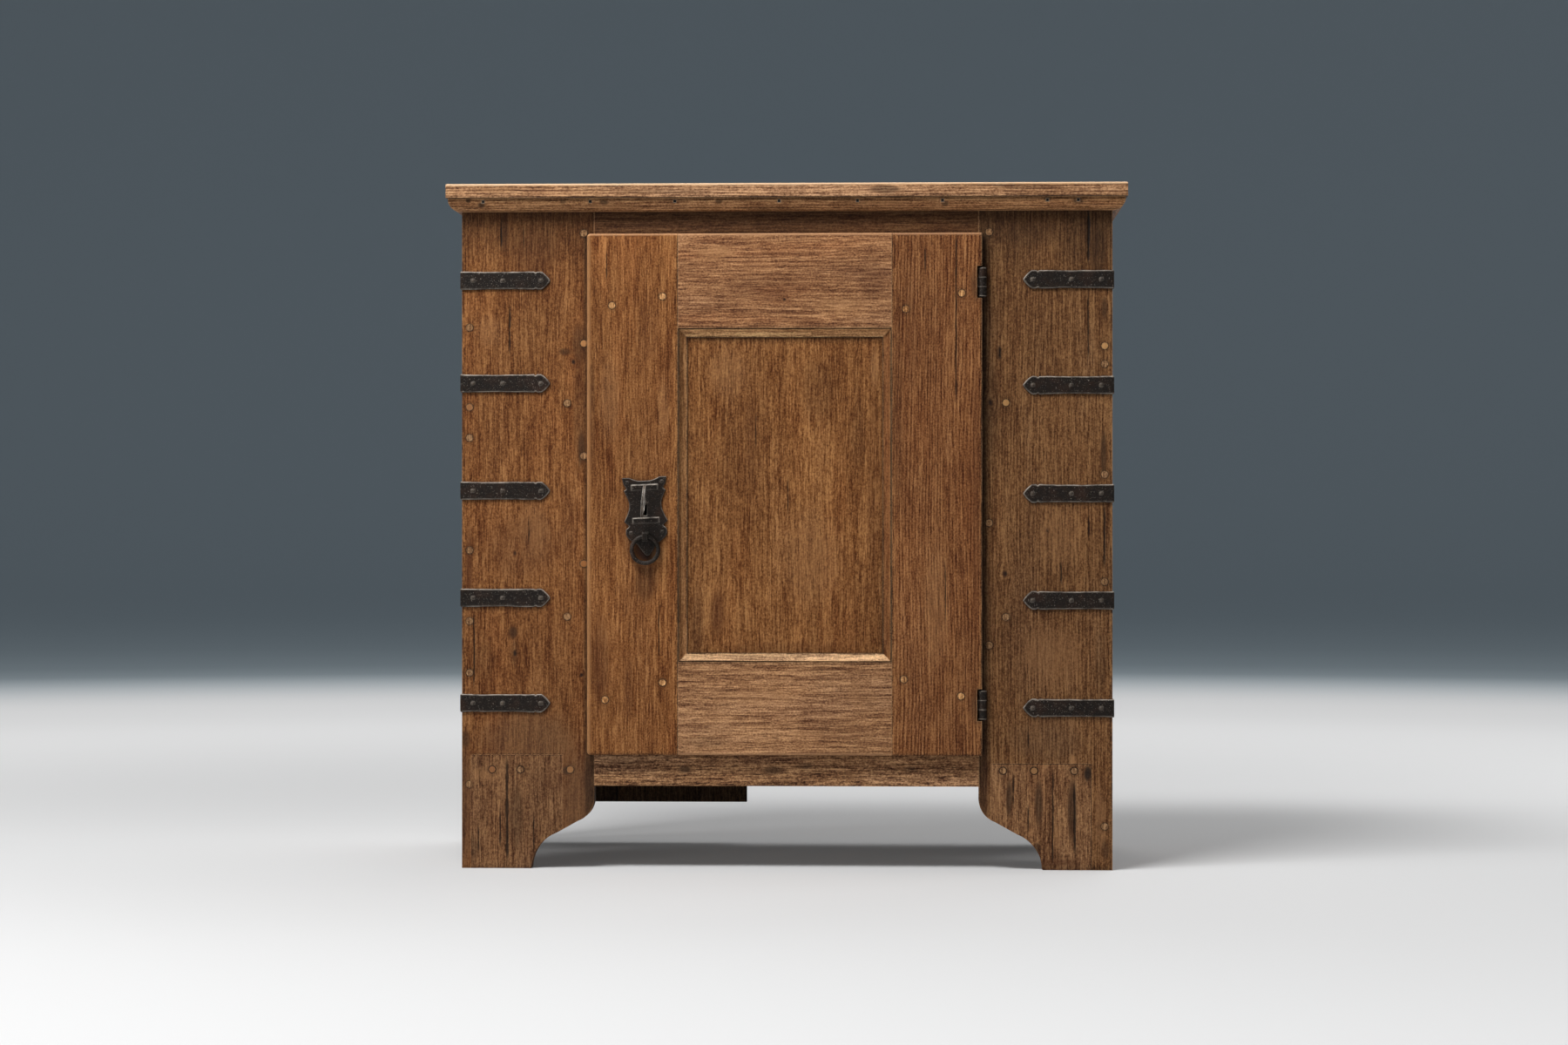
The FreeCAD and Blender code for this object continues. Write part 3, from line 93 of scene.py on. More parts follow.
def smooth_mesh(name, build):
    """A smooth mesh from a bmesh, which is freed."""
    mesh = bpy.data.meshes.new(name)
    build.to_mesh(mesh)
    build.free()
    mesh.polygons.foreach_set("use_smooth", [True] * len(mesh.polygons))
    return mesh


def lumps(node):
    """The boxes of a node's separate lumps, each as its two corners."""
    build = node_bmesh(node)
    left = set(build.verts)
    boxes = []
    while left:
        queue = [left.pop()]
        spots = []
        while queue:
            vert = queue.pop()
            spots.append(vert.co.copy())
            for edge in vert.link_edges:
                other = edge.other_vert(vert)
                if other in left:
                    left.remove(other)
                    queue.append(other)
        boxes.append(tuple(
            tuple(round(pick(spot[axis] for spot in spots), 6) for axis in range(3))
            for pick in (min, max)
        ))
    build.free()
    return sorted(boxes)


def arris_tree(build, sharp=0.9, step_length=0.0008):
    """Points along the edges that turn by more than sharp, in radians."""
    spots = []
    for edge in build.edges:
        if len(edge.link_faces) == 2 and edge.calc_face_angle() > sharp:
            first, second = (vert.co for vert in edge.verts)
            steps = max(1, round((second - first).length / step_length))
            spots += [first.lerp(second, step / steps) for step in range(steps + 1)]
    tree = kdtree.KDTree(len(spots))
    for number, spot in enumerate(spots):
        tree.insert(spot, number)
    tree.balance()
    return tree


def hammered(spot, normal, amount):
    """Where a point of forged iron ends up: slow waves and small dents."""
    wave = spot * 45
    push = Vector((
        noise.noise(wave + Vector((7, 0, 0))) * 0.4,
        noise.noise(wave + Vector((0, 19, 0))) * 0.25,
        noise.noise(wave + Vector((0, 0, 31))) + noise.noise(spot * 160) * 0.35,
    ))
    dent = noise.noise(spot * 210) * 0.3
    return spot + push * amount + normal * (dent * amount)


def forged_mesh(node, amount, voxel, rubbed=0.0021, side=0.55):
    """The node's own shape, remeshed with soft arrises and hammered a little.
    Its attribute of rubbing and painted highlight falls from the arrises to nothing at the
    distance rubbed.
    The painted highlight makes it strongest on faces that look up, and side is its share on
    the rest."""
    build = node_bmesh(node)
    arrises = arris_tree(build)
    blank = link(node + "_blank", smooth_mesh(node + "_plain", build))
    for kind, settings in (
        ("REMESH", dict(mode="VOXEL", voxel_size=voxel)),
        ("SMOOTH", dict(factor=0.5, iterations=2)),
    ):
        modifier = blank.modifiers.new(kind.lower(), kind)
        for key, value in settings.items():
            setattr(modifier, key, value)
    shaped = blank.evaluated_get(bpy.context.evaluated_depsgraph_get())
    mesh = bpy.data.meshes.new_from_object(shaped)
    bpy.data.objects.remove(blank)
    spots = [vert.co.copy() for vert in mesh.vertices]
    normals = [vert.normal.copy() for vert in mesh.vertices]
    wear, moved = [], []
    for spot, normal in zip(spots, normals):
        far = arrises.find(spot)[2]
        # Painted highlight: arrises of faces that look up are brightest
        faces_up = min(max(side + (1.1 - side) * normal[2], side / 2), 1.0)
        near = min(max((rubbed - far) / (rubbed / 2), 0.0), 1.0)
        wear.append(near * faces_up)
        moved.extend(hammered(spot, normal, amount))
    mesh.vertices.foreach_set("co", moved)
    mesh.attributes.new("wear", "FLOAT", "POINT").data.foreach_set("value", wear)
    mesh.polygons.foreach_set("use_smooth", [True] * len(mesh.polygons))
    mesh.update()
    return mesh


# Camera

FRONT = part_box("front_stile_left")[0][1]
AIM = Vector((-0.003, FRONT, 0.4975))
DISTANCE = 4.98
YAW = math.radians(2.2)
SENSOR = 36

camera = link("camera", bpy.data.cameras.new("camera"))
camera.location = AIM + DISTANCE * Vector((math.sin(YAW), -math.cos(YAW), 0))
camera.rotation_euler = (math.pi / 2, 0, YAW)
camera.data.sensor_width = SENSOR
camera.data.lens = DISTANCE / PIXEL / PHOTO_WIDTH * SENSOR
camera.data.dof.use_dof = False
SCENE.camera = camera


# Node helpers


class Nodes:
    """Short calls for building a node tree. A value is a number, a tuple or
    another node's output socket."""

    def __init__(self, tree):
        self.tree = tree

    def feed(self, socket, value):
        if isinstance(value, bpy.types.NodeSocket):
            self.tree.links.new(value, socket)
        elif value is not None:
            if hasattr(socket.default_value, "__len__") and isinstance(value, (int, float)):
                value = [value] * len(socket.default_value)
            elif hasattr(socket.default_value, "__len__"):
                value = tuple(value) + (1,) * (len(socket.default_value) - len(value))
            socket.default_value = value

    def add(self, kind, inputs=(), **settings):
        node = self.tree.nodes.new(kind)
        for name, value in settings.items():
            setattr(node, name, value)
        for name, value in dict(inputs).items():
            self.feed(node.inputs[name], value)
        return node

    def math(self, operation, a, b=None, clamp=False):
        node = self.add("ShaderNodeMath", operation=operation, use_clamp=clamp)
        for socket, value in zip(node.inputs, (a, b)):
            self.feed(socket, value)
        return node.outputs[0]

    def plus(self, a, b):
        return self.math("ADD", a, b)

    def minus(self, a, b):
        return self.math("SUBTRACT", a, b)

    def times(self, a, b, clamp=False):
        return self.math("MULTIPLY", a, b, clamp=clamp)

    def vector(self, operation, a, b=None):
        node = self.add("ShaderNodeVectorMath", operation=operation)
        for socket, value in zip(node.inputs, (a, b)):
            self.feed(socket, value)
        return node.outputs["Value" if operation in ("LENGTH", "DOT_PRODUCT") else 0]

    def split(self, vector):
        node = self.add("ShaderNodeSeparateXYZ", {"Vector": vector})
        return node.outputs

    def join(self, x, y, z):
        node = self.add("ShaderNodeCombineXYZ", {"X": x, "Y": y, "Z": z})
        return node.outputs[0]

    def noise(self, vector, scale=1, detail=2, rough=0.5, colour=False):
        node = self.add(
            "ShaderNodeTexNoise",
            {"Vector": vector, "Scale": scale, "Detail": detail, "Roughness": rough},
        )
        return node.outputs["Color" if colour else 0]

    def span(self, value, low, high, to_low=0, to_high=1, smooth=False):
        node = self.add(
            "ShaderNodeMapRange",
            {"Value": value, "From Min": low, "From Max": high, "To Min": to_low,
             "To Max": to_high},
            interpolation_type="SMOOTHSTEP" if smooth else "LINEAR",
        )
        return node.outputs[0]

    def mix(self, factor, a, b, blend="MIX"):
        """Two colours, a where the factor is 0 and b where it is 1."""
        node = self.add("ShaderNodeMix", data_type="RGBA", blend_type=blend)
        self.feed(node.inputs["Factor"], factor)
        self.feed(node.inputs[6], a)
        self.feed(node.inputs[7], b)
        return node.outputs[2]

    def ramp(self, value, *stops):
        node = self.add("ShaderNodeValToRGB", {"Fac": value})
        elements = node.color_ramp.elements
        while len(elements) < len(stops):
            elements.new(0.5)
        for element, (place, colour) in zip(elements, stops):
            element.position = place
            element.color = (*colour, 1)
        return node.outputs[0]

    def scaled(self, colour, level):
        """A colour times a number."""
        return self.mix(1, colour, self.join(level, level, level), "MULTIPLY")

    def bump(self, height, distance):
        inputs = {"Height": height, "Distance": distance, "Strength": 1}
        return self.add("ShaderNodeBump", inputs).outputs[0]

    def flatness(self, radius):
        """1 on flat faces, and less within a radius of an arris."""
        rounded = self.add("ShaderNodeBevel", {"Radius": radius}, samples=4)
        normal = self.add("ShaderNodeNewGeometry").outputs["Normal"]
        return self.vector("DOT_PRODUCT", rounded.outputs[0], normal)


def linear(red, green, blue):
    """A screen colour, 0 to 255, as the shader needs it."""
    def channel(value):
        value /= 255
        return value / 12.92 if value <= 0.04045 else ((value + 0.055) / 1.055) ** 2.4
    return tuple(channel(value) for value in (red, green, blue))


def new_material(name):
    """A material, the calls for its tree, and its shader."""
    material = bpy.data.materials.new(name)
    material.use_nodes = True
    tree = material.node_tree
    return material, Nodes(tree), tree.nodes["Principled BSDF"]


# Oak


def make_oak_group():
    """Oak with its grain along local Z. Tone runs from dark to light: short
    dashes of pores, longer fibres, soft bands and, faintly, growth rings that
    are cut from long shells round a far centre."""
    tree = bpy.data.node_groups.new("oak_grain", "ShaderNodeTree")
    face = tree.interface
    face.new_socket("Vector", in_out="INPUT", socket_type="NodeSocketVector")
    for name, value in (("Ring", 150.0), ("Slope", 0.06), ("Centre X", 0.0),
                        ("Centre Y", 0.12), ("Rings", 0.1), ("Waves", 0.4)):
        socket = face.new_socket(name, in_out="INPUT", socket_type="NodeSocketFloat")
        socket.default_value = value
    for name in ("Tone", "Pore", "Blotch", "Hue", "Height"):
        face.new_socket(name, in_out="OUTPUT", socket_type="NodeSocketFloat")
    n = Nodes(tree)
    given = n.add("NodeGroupInput").outputs
    x, y, z = n.split(given["Vector"])

    def stretched(across, along, detail=2, rough=0.5, place=None, colour=False):
        px, py, pz = place or (x, y, z)
        spot = n.join(n.times(px, across), n.times(py, across), n.times(pz, along))
        return n.noise(spot, 1, detail, rough, colour=colour)

    sway = n.vector("SUBTRACT", stretched(9, 1.7, colour=True), (0.5, 0.5, 0.5))
    sway = n.vector("MULTIPLY", sway, (0.022, 0.022, 0))
    ripple = n.vector("SUBTRACT", stretched(45, 22, colour=True), (0.5, 0.5, 0.5))
    ripple = n.vector("SCALE", n.vector("MULTIPLY", ripple, (0.0022, 0.0022, 0)))
    n.feed(ripple.node.inputs["Scale"], given["Waves"])
    moved = n.vector("ADD", given["Vector"], n.vector("ADD", sway, ripple))
    place = tuple(n.split(moved))
    mx, my, mz = place
    shell = n.vector("LENGTH", n.join(
        n.minus(mx, given["Centre X"]), n.minus(my, given["Centre Y"]),
        n.times(mz, given["Slope"]),
    ))
    bands = n.plus(n.times(shell, given["Ring"]), n.times(stretched(12, 2), 1.5))
    early = n.span(n.times(n.math("PINGPONG", bands, 0.5), 2), 0.0, 0.7, 1, 0, smooth=True)
    speck = stretched(420, 330, 3, 0.7)
    dash = stretched(600, 50, 3, 0.75, place)
    fibre = stretched(340, 12, 3, 0.7, place)
    streak = stretched(95, 5, 3, 0.6, place)
    cloud = stretched(70, 40, 3, 0.6)
    broad = stretched(22, 2.4, 3, 0.6, place)
    tone = n.plus(0.5, n.times(n.minus(early, 0.5), n.times(given["Rings"], -1)))
    layers = ((speck, 1.6), (dash, 1.6), (fibre, 1.45), (streak, 0.5), (cloud, 0.3),
              (broad, 0.3))
    for layer, weight in layers:
        tone = n.plus(tone, n.times(n.minus(layer, 0.5), weight))
    density = n.span(early, 0, 1, 0.66, 0.61)
    pore = n.span(n.minus(stretched(640, 60, 2, 0.6, place), density), 0, 0.06, 0, 1)
    blotch = stretched(9, 3.6, 4, 0.6)
    hue = stretched(16, 2.6, 3, 0.6, place)
    height = n.minus(n.times(tone, 0.6), n.times(pore, 0.6))
    n.add("NodeGroupOutput", {"Tone": tone, "Pore": pore, "Blotch": blotch,
                              "Hue": hue, "Height": height})
    return tree


OAK = make_oak_group()

# Turns local Z to the way that a board's grain runs
GRAIN_TURNS = {
    "Z": (0, 0, 0),
    "X": (0, math.pi / 2, 0),
    "Y": (math.pi / 2, 0, 0),
}

ROUGHNESS = 0.56
PEG_RADIUS = 0.0048
CRACK_COLOUR = (24, 14, 8)
JOINT_COLOUR = (30, 18, 10)
KNOT_COLOUR = (58, 34, 20)
KNOT_HEART = (26, 16, 10)


class Oak:
    """One board's oak material, which marks are then added to. Colours are
    screen colours as they look in the photograph's light."""

    def __init__(self, name, grain="Z", mean=(118, 76, 44), contrast=1.0, ring=150,
                 slope=0.06, centre=(0.0, 0.12), rings=0.1, waves=0.4, pores=0.6,
                 red=0.2, grey=0.2, box=None):
        self.material, self.n, self.shader = new_material(name)
        n = self.n
        self.place = n.add("ShaderNodeTexCoord").outputs["Object"]
        self.x, self.y, self.z = n.split(self.place)
        self.box = box
        self.knots = []
        self.grain = grain
        self.settings = dict(Ring=ring, Slope=slope, Rings=rings, Waves=waves)
        self.settings.update({"Centre X": centre[0], "Centre Y": centre[1]})
        self.offset = RNG.uniform(-5, 5)
        self.mean, self.contrast, self.pores = mean, contrast, pores
        self.red, self.grey = red, grey

    def knot(self, x, z, wide, tall):
        """Grain that parts round a knot, which is painted later."""
        self.knots.append((x, z, wide, tall))

    def falloff(self, x, z, wide, tall):
        """1 at a place on the board's face, falling to 0 at the given reach."""
        n = self.n
        dx = n.times(n.minus(self.x, x), 1 / wide)
        dz = n.times(n.minus(self.z, z), 1 / tall)
        far = n.vector("LENGTH", n.join(dx, dz, 0))
        return n.span(far, 1, 0, 0, 1, smooth=True)

    def begin(self):
        """The bare wood, to which every mark is added later."""
        n = self.n
        place = self.place
        for x, z, wide, tall in self.knots:
            pull = self.falloff(x, z, wide * 5, tall * 4)
            shift = n.times(n.times(n.minus(self.x, x), pull), -0.65)
            place = n.vector("ADD", place, n.join(shift, 0, 0))
        turned = n.add("ShaderNodeMapping", {"Vector": place}, vector_type="TEXTURE")
        turned.inputs["Rotation"].default_value = GRAIN_TURNS[self.grain]
        group = n.add("ShaderNodeGroup", node_tree=OAK)
        spot = n.vector("ADD", turned.outputs[0], (0, 0, self.offset))
        n.feed(group.inputs["Vector"], spot)
        for socket, value in self.settings.items():
            group.inputs[socket].default_value = value
        out = group.outputs
        mean = self.mean
        middle = sum(mean) / 3

        def shade(share):
            """A darker or lighter step; light fibres are greyer than dark ones."""
            step = share * self.contrast * middle
            channels = (mean[0] + step * 1.12, mean[1] + step, mean[2] + step * 0.78)
            return linear(*(min(max(value, 4), 250) for value in channels))

        tone = out["Tone"]
        colour = n.ramp(tone, (0.05, shade(-0.58)), (0.38, shade(-0.14)),
                        (0.62, shade(0.14)), (0.95, shade(0.5)))
        tan = linear(mean[0] * 1.02, mean[1] * 1.08, mean[2] * 1.25)
        russet = linear(mean[0] * 1.0, mean[1] * 0.84, mean[2] * 0.70)
        cool = n.span(out["Hue"], 0.48, 0.68, 0, self.grey, smooth=True)
        warm = n.span(out["Hue"], 0.50, 0.30, 0, self.red, smooth=True)
        base = linear(*mean)
        for mask, tint in ((cool, tan), (warm, russet)):
            ratio = tuple(a / b for a, b in zip(tint, base))
            colour = n.mix(mask, colour, n.mix(1, colour, ratio, "MULTIPLY"))
        colour = n.scaled(colour, n.span(out["Blotch"], 0.3, 0.7, 0.86, 1.14))
        self.colour = n.mix(n.times(out["Pore"], self.pores), colour, shade(-0.6))
        # 1 in the front part of the board's depth, and 0 behind it
        self.front = 1
        if self.box:
            face, back = self.box[0][1], self.box[1][1]
            middle_depth = face + (back - face) * 0.6
            self.front = n.span(self.y, middle_depth, middle_depth - 0.002, 0, 1)
        self.height = out["Height"]
        self.tone = tone
        self.blotch = out["Blotch"]
        self.rough = n.span(tone, 0, 1, ROUGHNESS + 0.08, ROUGHNESS - 0.08)
        for knot in self.knots:
            self.paint_knot(*knot)
        return self

    def paint_knot(self, x, z, wide, tall):
        n = self.n
        far = self.falloff(x, z, wide * 1.6, tall * 1.6)
        far = n.plus(far, n.times(n.minus(n.noise(self.place, 420, 2), 0.5), 0.35))
        self.mark(n.span(far, 0.15, 0.75, 0, 1, smooth=True), KNOT_COLOUR, 0.8)
        self.mark(n.span(far, 0.62, 0.85, 0, 1, smooth=True), KNOT_HEART, 0.8)

    def mark(self, mask, colour, strength):
        """Another colour where mask is 1."""
        n = self.n
        share = n.times(mask, strength, clamp=True)
        self.colour = n.mix(share, self.colour, linear(*colour))

    def darken(self, mask, share):
        """Multiply the colour by share where mask is 1."""
        self.colour = self.n.scaled(self.colour, self.n.span(mask, 0, 1, 1, share))

    def crack(self, x, top, bottom, wide):
        """A drying crack up the board's face, between two heights; the lengths
        are pixels, and wide is in metres."""
        n = self.n
        x, high = at(x, top)
        low = at(0, bottom)[1]
        bend = n.noise(n.join(0, x * 50, n.times(self.z, 22)), 1, 3, 0.6)
        bend = n.times(n.minus(bend, 0.5), 0.0036)
        off = n.math("ABSOLUTE", n.minus(n.minus(self.x, x), bend))
        thin = n.noise(n.join(x * 90, 0, n.times(self.z, 60)), 1, 2)
        width = n.span(thin, 0.3, 0.6, wide * 0.25, wide)
        line = n.span(n.math("DIVIDE", off, width), 0.5, 1.4, 1, 0, smooth=True)
        reach = min(0.02, (high - low) / 3)
        ends = n.times(n.span(self.z, low, low + reach, 0, 1, smooth=True),
                       n.span(self.z, high, high - reach, 0, 1, smooth=True))
        mask = n.times(n.times(line, ends), self.front)
        self.mark(mask, CRACK_COLOUR, 0.85)
        self.height = n.minus(self.height, n.times(mask, 2.0))

    def stain(self, x, y, wide, tall, colour, strength):
        """A soft patch of another colour; all four lengths are pixels."""
        n = self.n
        far = self.falloff(*at(x, y), wide * PIXEL, tall * PIXEL)
        far = n.plus(far, n.times(n.minus(self.tone, 0.5), n.times(far, 0.9)))
        mask = n.times(n.span(far, 0.08, 0.8, 0, 1, smooth=True), self.front)
        self.mark(mask, colour, strength)

    def seam(self, y, left, right, tooth=0.0022, pitch=0.006, wide=0.0007):
        """A joint that runs across the face with small teeth, between pixels."""
        n = self.n
        start, height = at(left, y)
        end = at(right, y)[0]
        saw = n.math("PINGPONG", self.x, pitch / 2)
        line = n.plus(height, n.times(saw, tooth * 2 / pitch))
        off = n.math("ABSOLUTE", n.minus(self.z, line))
        mask = n.span(off, wide, wide * 0.35, 0, 1, smooth=True)
        mask = n.times(mask, n.span(self.x, start, start + 0.004, 0, 1))
        mask = n.times(mask, n.span(self.x, end, end - 0.004, 0, 1))
        self.mark(mask, JOINT_COLOUR, 0.7)

    def pegs(self, spots):
        """Dark joints round pegs, and a little dirt beside them."""
        n = self.n
        nearest = None
        for x, z in spots:
            far = n.vector("LENGTH", n.join(n.minus(self.x, x), n.minus(self.z, z), 0))
            nearest = far if nearest is None else n.math("MINIMUM", nearest, far)
        off = n.math("ABSOLUTE", n.minus(nearest, PEG_RADIUS))
        self.mark(n.span(off, 0.0017, 0.0006, 0, 1, smooth=True), JOINT_COLOUR, 0.85)
        dirt_and_shade = n.span(nearest, PEG_RADIUS * 2.6, PEG_RADIUS, 0, 1, smooth=True)
        self.darken(dirt_and_shade, 0.8)

    def fade(self, axis, full, clear, share, below=None):
        """Painted shade: darker wood towards one side, share at full, none at clear, and only
        below a height. All places are pixels."""
        n = self.n
        value, side = {"x": (self.x, 0), "z": (self.z, 1)}[axis]
        full, clear = at(full, full)[side], at(clear, clear)[side]
        value = n.plus(value, n.times(n.minus(self.blotch, 0.5), (clear - full) * 0.5))
        mask = n.span(value, clear, full, 0, 1, smooth=True)
        if below:
            limit = at(0, below)[1]
            mask = n.times(mask, n.span(self.z, limit, limit - 0.006, 0, 1))
        self.darken(mask, share)

    def dirt_and_shade(self, reach=0.010, share=0.45):
        """Painted shade from ambient occlusion, with old grime, where the light doesn't
        reach: joints, quirks and corners.
        """
        n = self.n
        near = n.add("ShaderNodeAmbientOcclusion", {"Distance": reach}, samples=4)
        self.darken(n.span(near.outputs["AO"], 0.92, 0.25, 0, 1), share)

    def grime(self, reach=0.006, share=0.7):
        """Darker wood along the board's outline."""
        n = self.n
        (x0, _, z0), (x1, _, z1) = self.box
        gap = n.math("MINIMUM", n.minus(self.x, x0), n.minus(x1, self.x))
        gap = n.math("MINIMUM", gap, n.minus(self.z, z0))
        gap = n.math("MINIMUM", gap, n.minus(z1, self.z))
        gap = n.plus(gap, n.times(n.minus(self.tone, 0.5), reach))
        self.darken(n.span(gap, reach, 0, 0, 1, smooth=True), share)

    def edge_lines(self, sides, wide, strength, colour=(20, 11, 6), deep=None):
        """Lines along the board's left, right, front, back, bottom or top, given
        as l, r, f, k, b, t; deep keeps them that near the front. The width and
        depth are millimetres."""
        n = self.n
        wide = mm(wide)
        (x0, y0, z0), (x1, y1, z1) = self.box
        places = {"l": (self.x, x0, 1), "r": (self.x, x1, -1),
                  "f": (self.y, y0, 1), "k": (self.y, y1, -1),
                  "b": (self.z, z0, 1), "t": (self.z, z1, -1)}
        for side in sides:
            value, edge, sign = places[side]
            inside = n.times(n.minus(value, edge), sign)
            inside = n.plus(inside, n.times(n.minus(self.tone, 0.5), wide * 0.6))
            mask = n.span(inside, wide, wide * 0.45, 0, 1, smooth=True)
            if deep:
                near = n.span(self.y, y0 + mm(deep), y0 + mm(deep) / 2, 0, 1)
                mask = n.times(mask, near)
            self.mark(mask, colour, strength)

    def worn(self, radius=0.0022, colour=(196, 150, 106), strength=0.6):
        """Pale, rubbed arrises."""
        n = self.n
        mask = n.span(n.flatness(radius), 0.995, 0.88, 0, 1)
        mask = n.times(mask, n.span(self.tone, 0.35, 0.6, 0.35, 1))
        self.mark(mask, colour, strength)

    def finish(self, depth=0.0005):
        n = self.n
        n.feed(self.shader.inputs["Base Color"], self.colour)
        n.feed(self.shader.inputs["Roughness"], self.rough)
        n.feed(self.shader.inputs["Normal"], n.bump(self.height, depth))
        self.shader.inputs["Specular IOR Level"].default_value = 0.16
        return self.material


def dress(node, material):
    """Give a CAD node one material."""
    materials = NODES[node].data.materials
    materials.clear()
    materials.append(material)


def soften(node, width):
    """Soft arrises on a CAD node; the width is in millimetres."""
    modifier = NODES[node].modifiers.new("soft_arris", "BEVEL")
    modifier.width = mm(width)
    modifier.segments = 2
    modifier.limit_method = "ANGLE"
    modifier.angle_limit = math.radians(35)
    modifier.use_clamp_overlap = True


def stand_in(name, mesh, material, body, node):
    """A mesh piece that rides on a body and replaces a CAD node."""
    mesh.materials.clear()
    mesh.materials.append(material)
    piece = link(name, mesh)
    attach(piece, body)
    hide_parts(node)


# Iron


def make_iron(name, base=(27, 19, 13), bright=(186, 174, 160), rust=(60, 36, 22),
              forged=False, metallic=0.1):
    """Dark iron with rust, bright painted glints, and bright rubbed arrises. Forged
    pieces carry their rubbing, with a painted highlight on arrises that look up, in an
    attribute."""
    material, n, shader = new_material(name)
    place = n.add("ShaderNodeTexCoord").outputs["Object"]
    coarse = n.noise(place, 160, 4, 0.6)
    fine = n.noise(place, 620, 3, 0.65)
    patch = n.noise(place, 38, 3, 0.6)
    colour = n.ramp(
        coarse, (0.25, linear(base[0] * 0.55, base[1] * 0.55, base[2] * 0.55)),
        (0.55, linear(*base)), (0.85, linear(base[0] * 1.5, base[1] * 1.45, base[2] * 1.4)),
    )
    colour = n.mix(n.span(patch, 0.5, 0.75, 0, 0.45), colour, linear(*rust))
    # Painted glints: small bright points on the iron's face
    glint_specks = n.span(fine, 0.62, 0.72, 0, 1)
    colour = n.mix(n.times(glint_specks, 0.6), colour, linear(*bright))
    # Forged pieces: rubbing with a painted highlight on up-facing arrises
    if forged:
        worn = n.add("ShaderNodeAttribute", attribute_name="wear").outputs["Fac"]
    else:
        worn = n.span(n.flatness(0.0014), 0.998, 0.9, 0, 1)
    worn = n.times(worn, n.span(n.noise(place, 70, 3, 0.7), 0.35, 0.6, 0.25, 1))
    colour = n.mix(n.times(worn, 0.9, clamp=True), colour, linear(*bright))
    n.feed(shader.inputs["Base Color"], colour)
    n.feed(shader.inputs["Roughness"], n.span(coarse, 0.3, 0.7, 0.66, 0.42))
    shader.inputs["Metallic"].default_value = metallic
    shader.inputs["Specular IOR Level"].default_value = 0.22
    height = n.plus(n.times(coarse, 0.8), n.times(fine, 0.2))
    n.feed(shader.inputs["Normal"], n.bump(height, 0.0009))
    return material


IRON = make_iron("forged_iron")
STEEL = make_iron("rubbed_steel", (88, 80, 72), (206, 200, 192), (92, 74, 60),
                  metallic=0.5)
IRON_FORGED = make_iron("hammered_iron", forged=True)
DARK_IRON = make_iron("dark_iron", bright=(88, 80, 70))
NAIL_IRON = make_iron("nail_iron", (76, 67, 58), (172, 162, 150), (64, 46, 34))

# A nail's dome from its foot to its crown: shares of its radius and its rise
DOME_RINGS = ((1.0, -0.7), (1.0, 0.12), (0.9, 0.5), (0.62, 0.82), (0.28, 0.97))
DOME_SIDES = 14
DOME_RISE_SHARE = 0.62
DOME_SPREAD = 0.95


def nail_head(low, high):
    """The crown, the way out and the radius of a nail with these corners."""
    size = high - low
    axis = max(range(3), key=lambda side: size[side])
    head = (low + high) / 2
    # A nail in a side points away from the middle, any other to the front
    outward = Vector((0, 0, 0))
    outward[axis] = 1 if axis == 0 and head[0] >= 0 else -1
    head[axis] = high[axis] if outward[axis] > 0 else low[axis]
    radius = min(size[side] for side in range(3) if side != axis) / 2 * DOME_SPREAD
    return head, outward, radius


def nail_domes(node, name):
    """Hand-made round heads in the places of a node's nails."""
    rng = random.Random(name)
    build = bmesh.new()
    for low, high in lumps(node):
        head, outward, radius = nail_head(Vector(low), Vector(high))
        rise = radius * DOME_RISE_SHARE
        turn = outward.to_track_quat("Z", "Y").to_matrix().to_4x4()
        wobble = [rng.uniform(0.93, 1.06) for _ in range(DOME_SIDES)]
        rows = []
        for share, up in DOME_RINGS:
            row = []
            for step, swell in enumerate(wobble):
                angle = math.tau * step / DOME_SIDES
                spot = Vector((math.cos(angle) * share * swell * radius,
                               math.sin(angle) * share * swell * radius, (up - 1) * rise))
                row.append(build.verts.new(head + turn @ spot))
            rows.append(row)
        for inner, outer in zip(rows, rows[1:]):
            for step in range(DOME_SIDES):
                after = (step + 1) % DOME_SIDES
                build.faces.new((inner[step], inner[after], outer[after], outer[step]))
        build.faces.new(rows[-1])
        build.faces.new(list(reversed(rows[0])))
    stand_in(name, smooth_mesh(name, build), NAIL_IRON, "carcass", node)


# Studio

# The sweep: the radius of the flat floor, of the curve and of a disc in the
# middle, the wall's height, and the steps round the sweep and up the curve
FLAT_RADIUS = 6.4
CURVE_RADIUS = 2.0
DISC_RADIUS = 2.0
WALL_HEIGHT = 9.0
ROUND_STEPS = 96
CURVE_STEPS = 12
FLOOR_DROP = 0.0002
PALE_FLOOR = (0.58, 0.58, 0.58)
SLATE_WALL = (0.26, 0.31, 0.36)


def seen_directly(n):
    """1 for what is seen straight, in gloss or through glass, and 0 for light."""
    path = n.add("ShaderNodeLightPath").outputs
    seen = n.math("MAXIMUM", path["Is Camera Ray"], path["Is Glossy Ray"])
    return n.math("MAXIMUM", seen, path["Is Transmission Ray"])


def studio_material():
    """Pale round the cabinet and slate at the wall, with a glow of its own."""
    material, n, shader = new_material("studio_floor")
    shader.inputs["Roughness"].default_value = 0.9
    x, y, _ = n.split(n.add("ShaderNodeTexCoord").outputs["Object"])
    far = n.vector("LENGTH", n.join(x, y, 0))
    wall = n.span(far, 4.4, 7.4, 0, 1, smooth=True)
    n.feed(shader.inputs["Base Color"], n.mix(wall, PALE_FLOOR, SLATE_WALL))
    glow = n.span(far, 0.8, 3.6, 0.06, 0.5, smooth=True)
    glow = n.times(glow, n.span(wall, 0, 1, 1, 0.08))
    n.feed(shader.inputs["Emission Color"], n.mix(wall, (1, 1, 1), (0.7, 0.9, 1)))
    n.feed(shader.inputs["Emission Strength"], n.times(glow, seen_directly(n)))
    return material


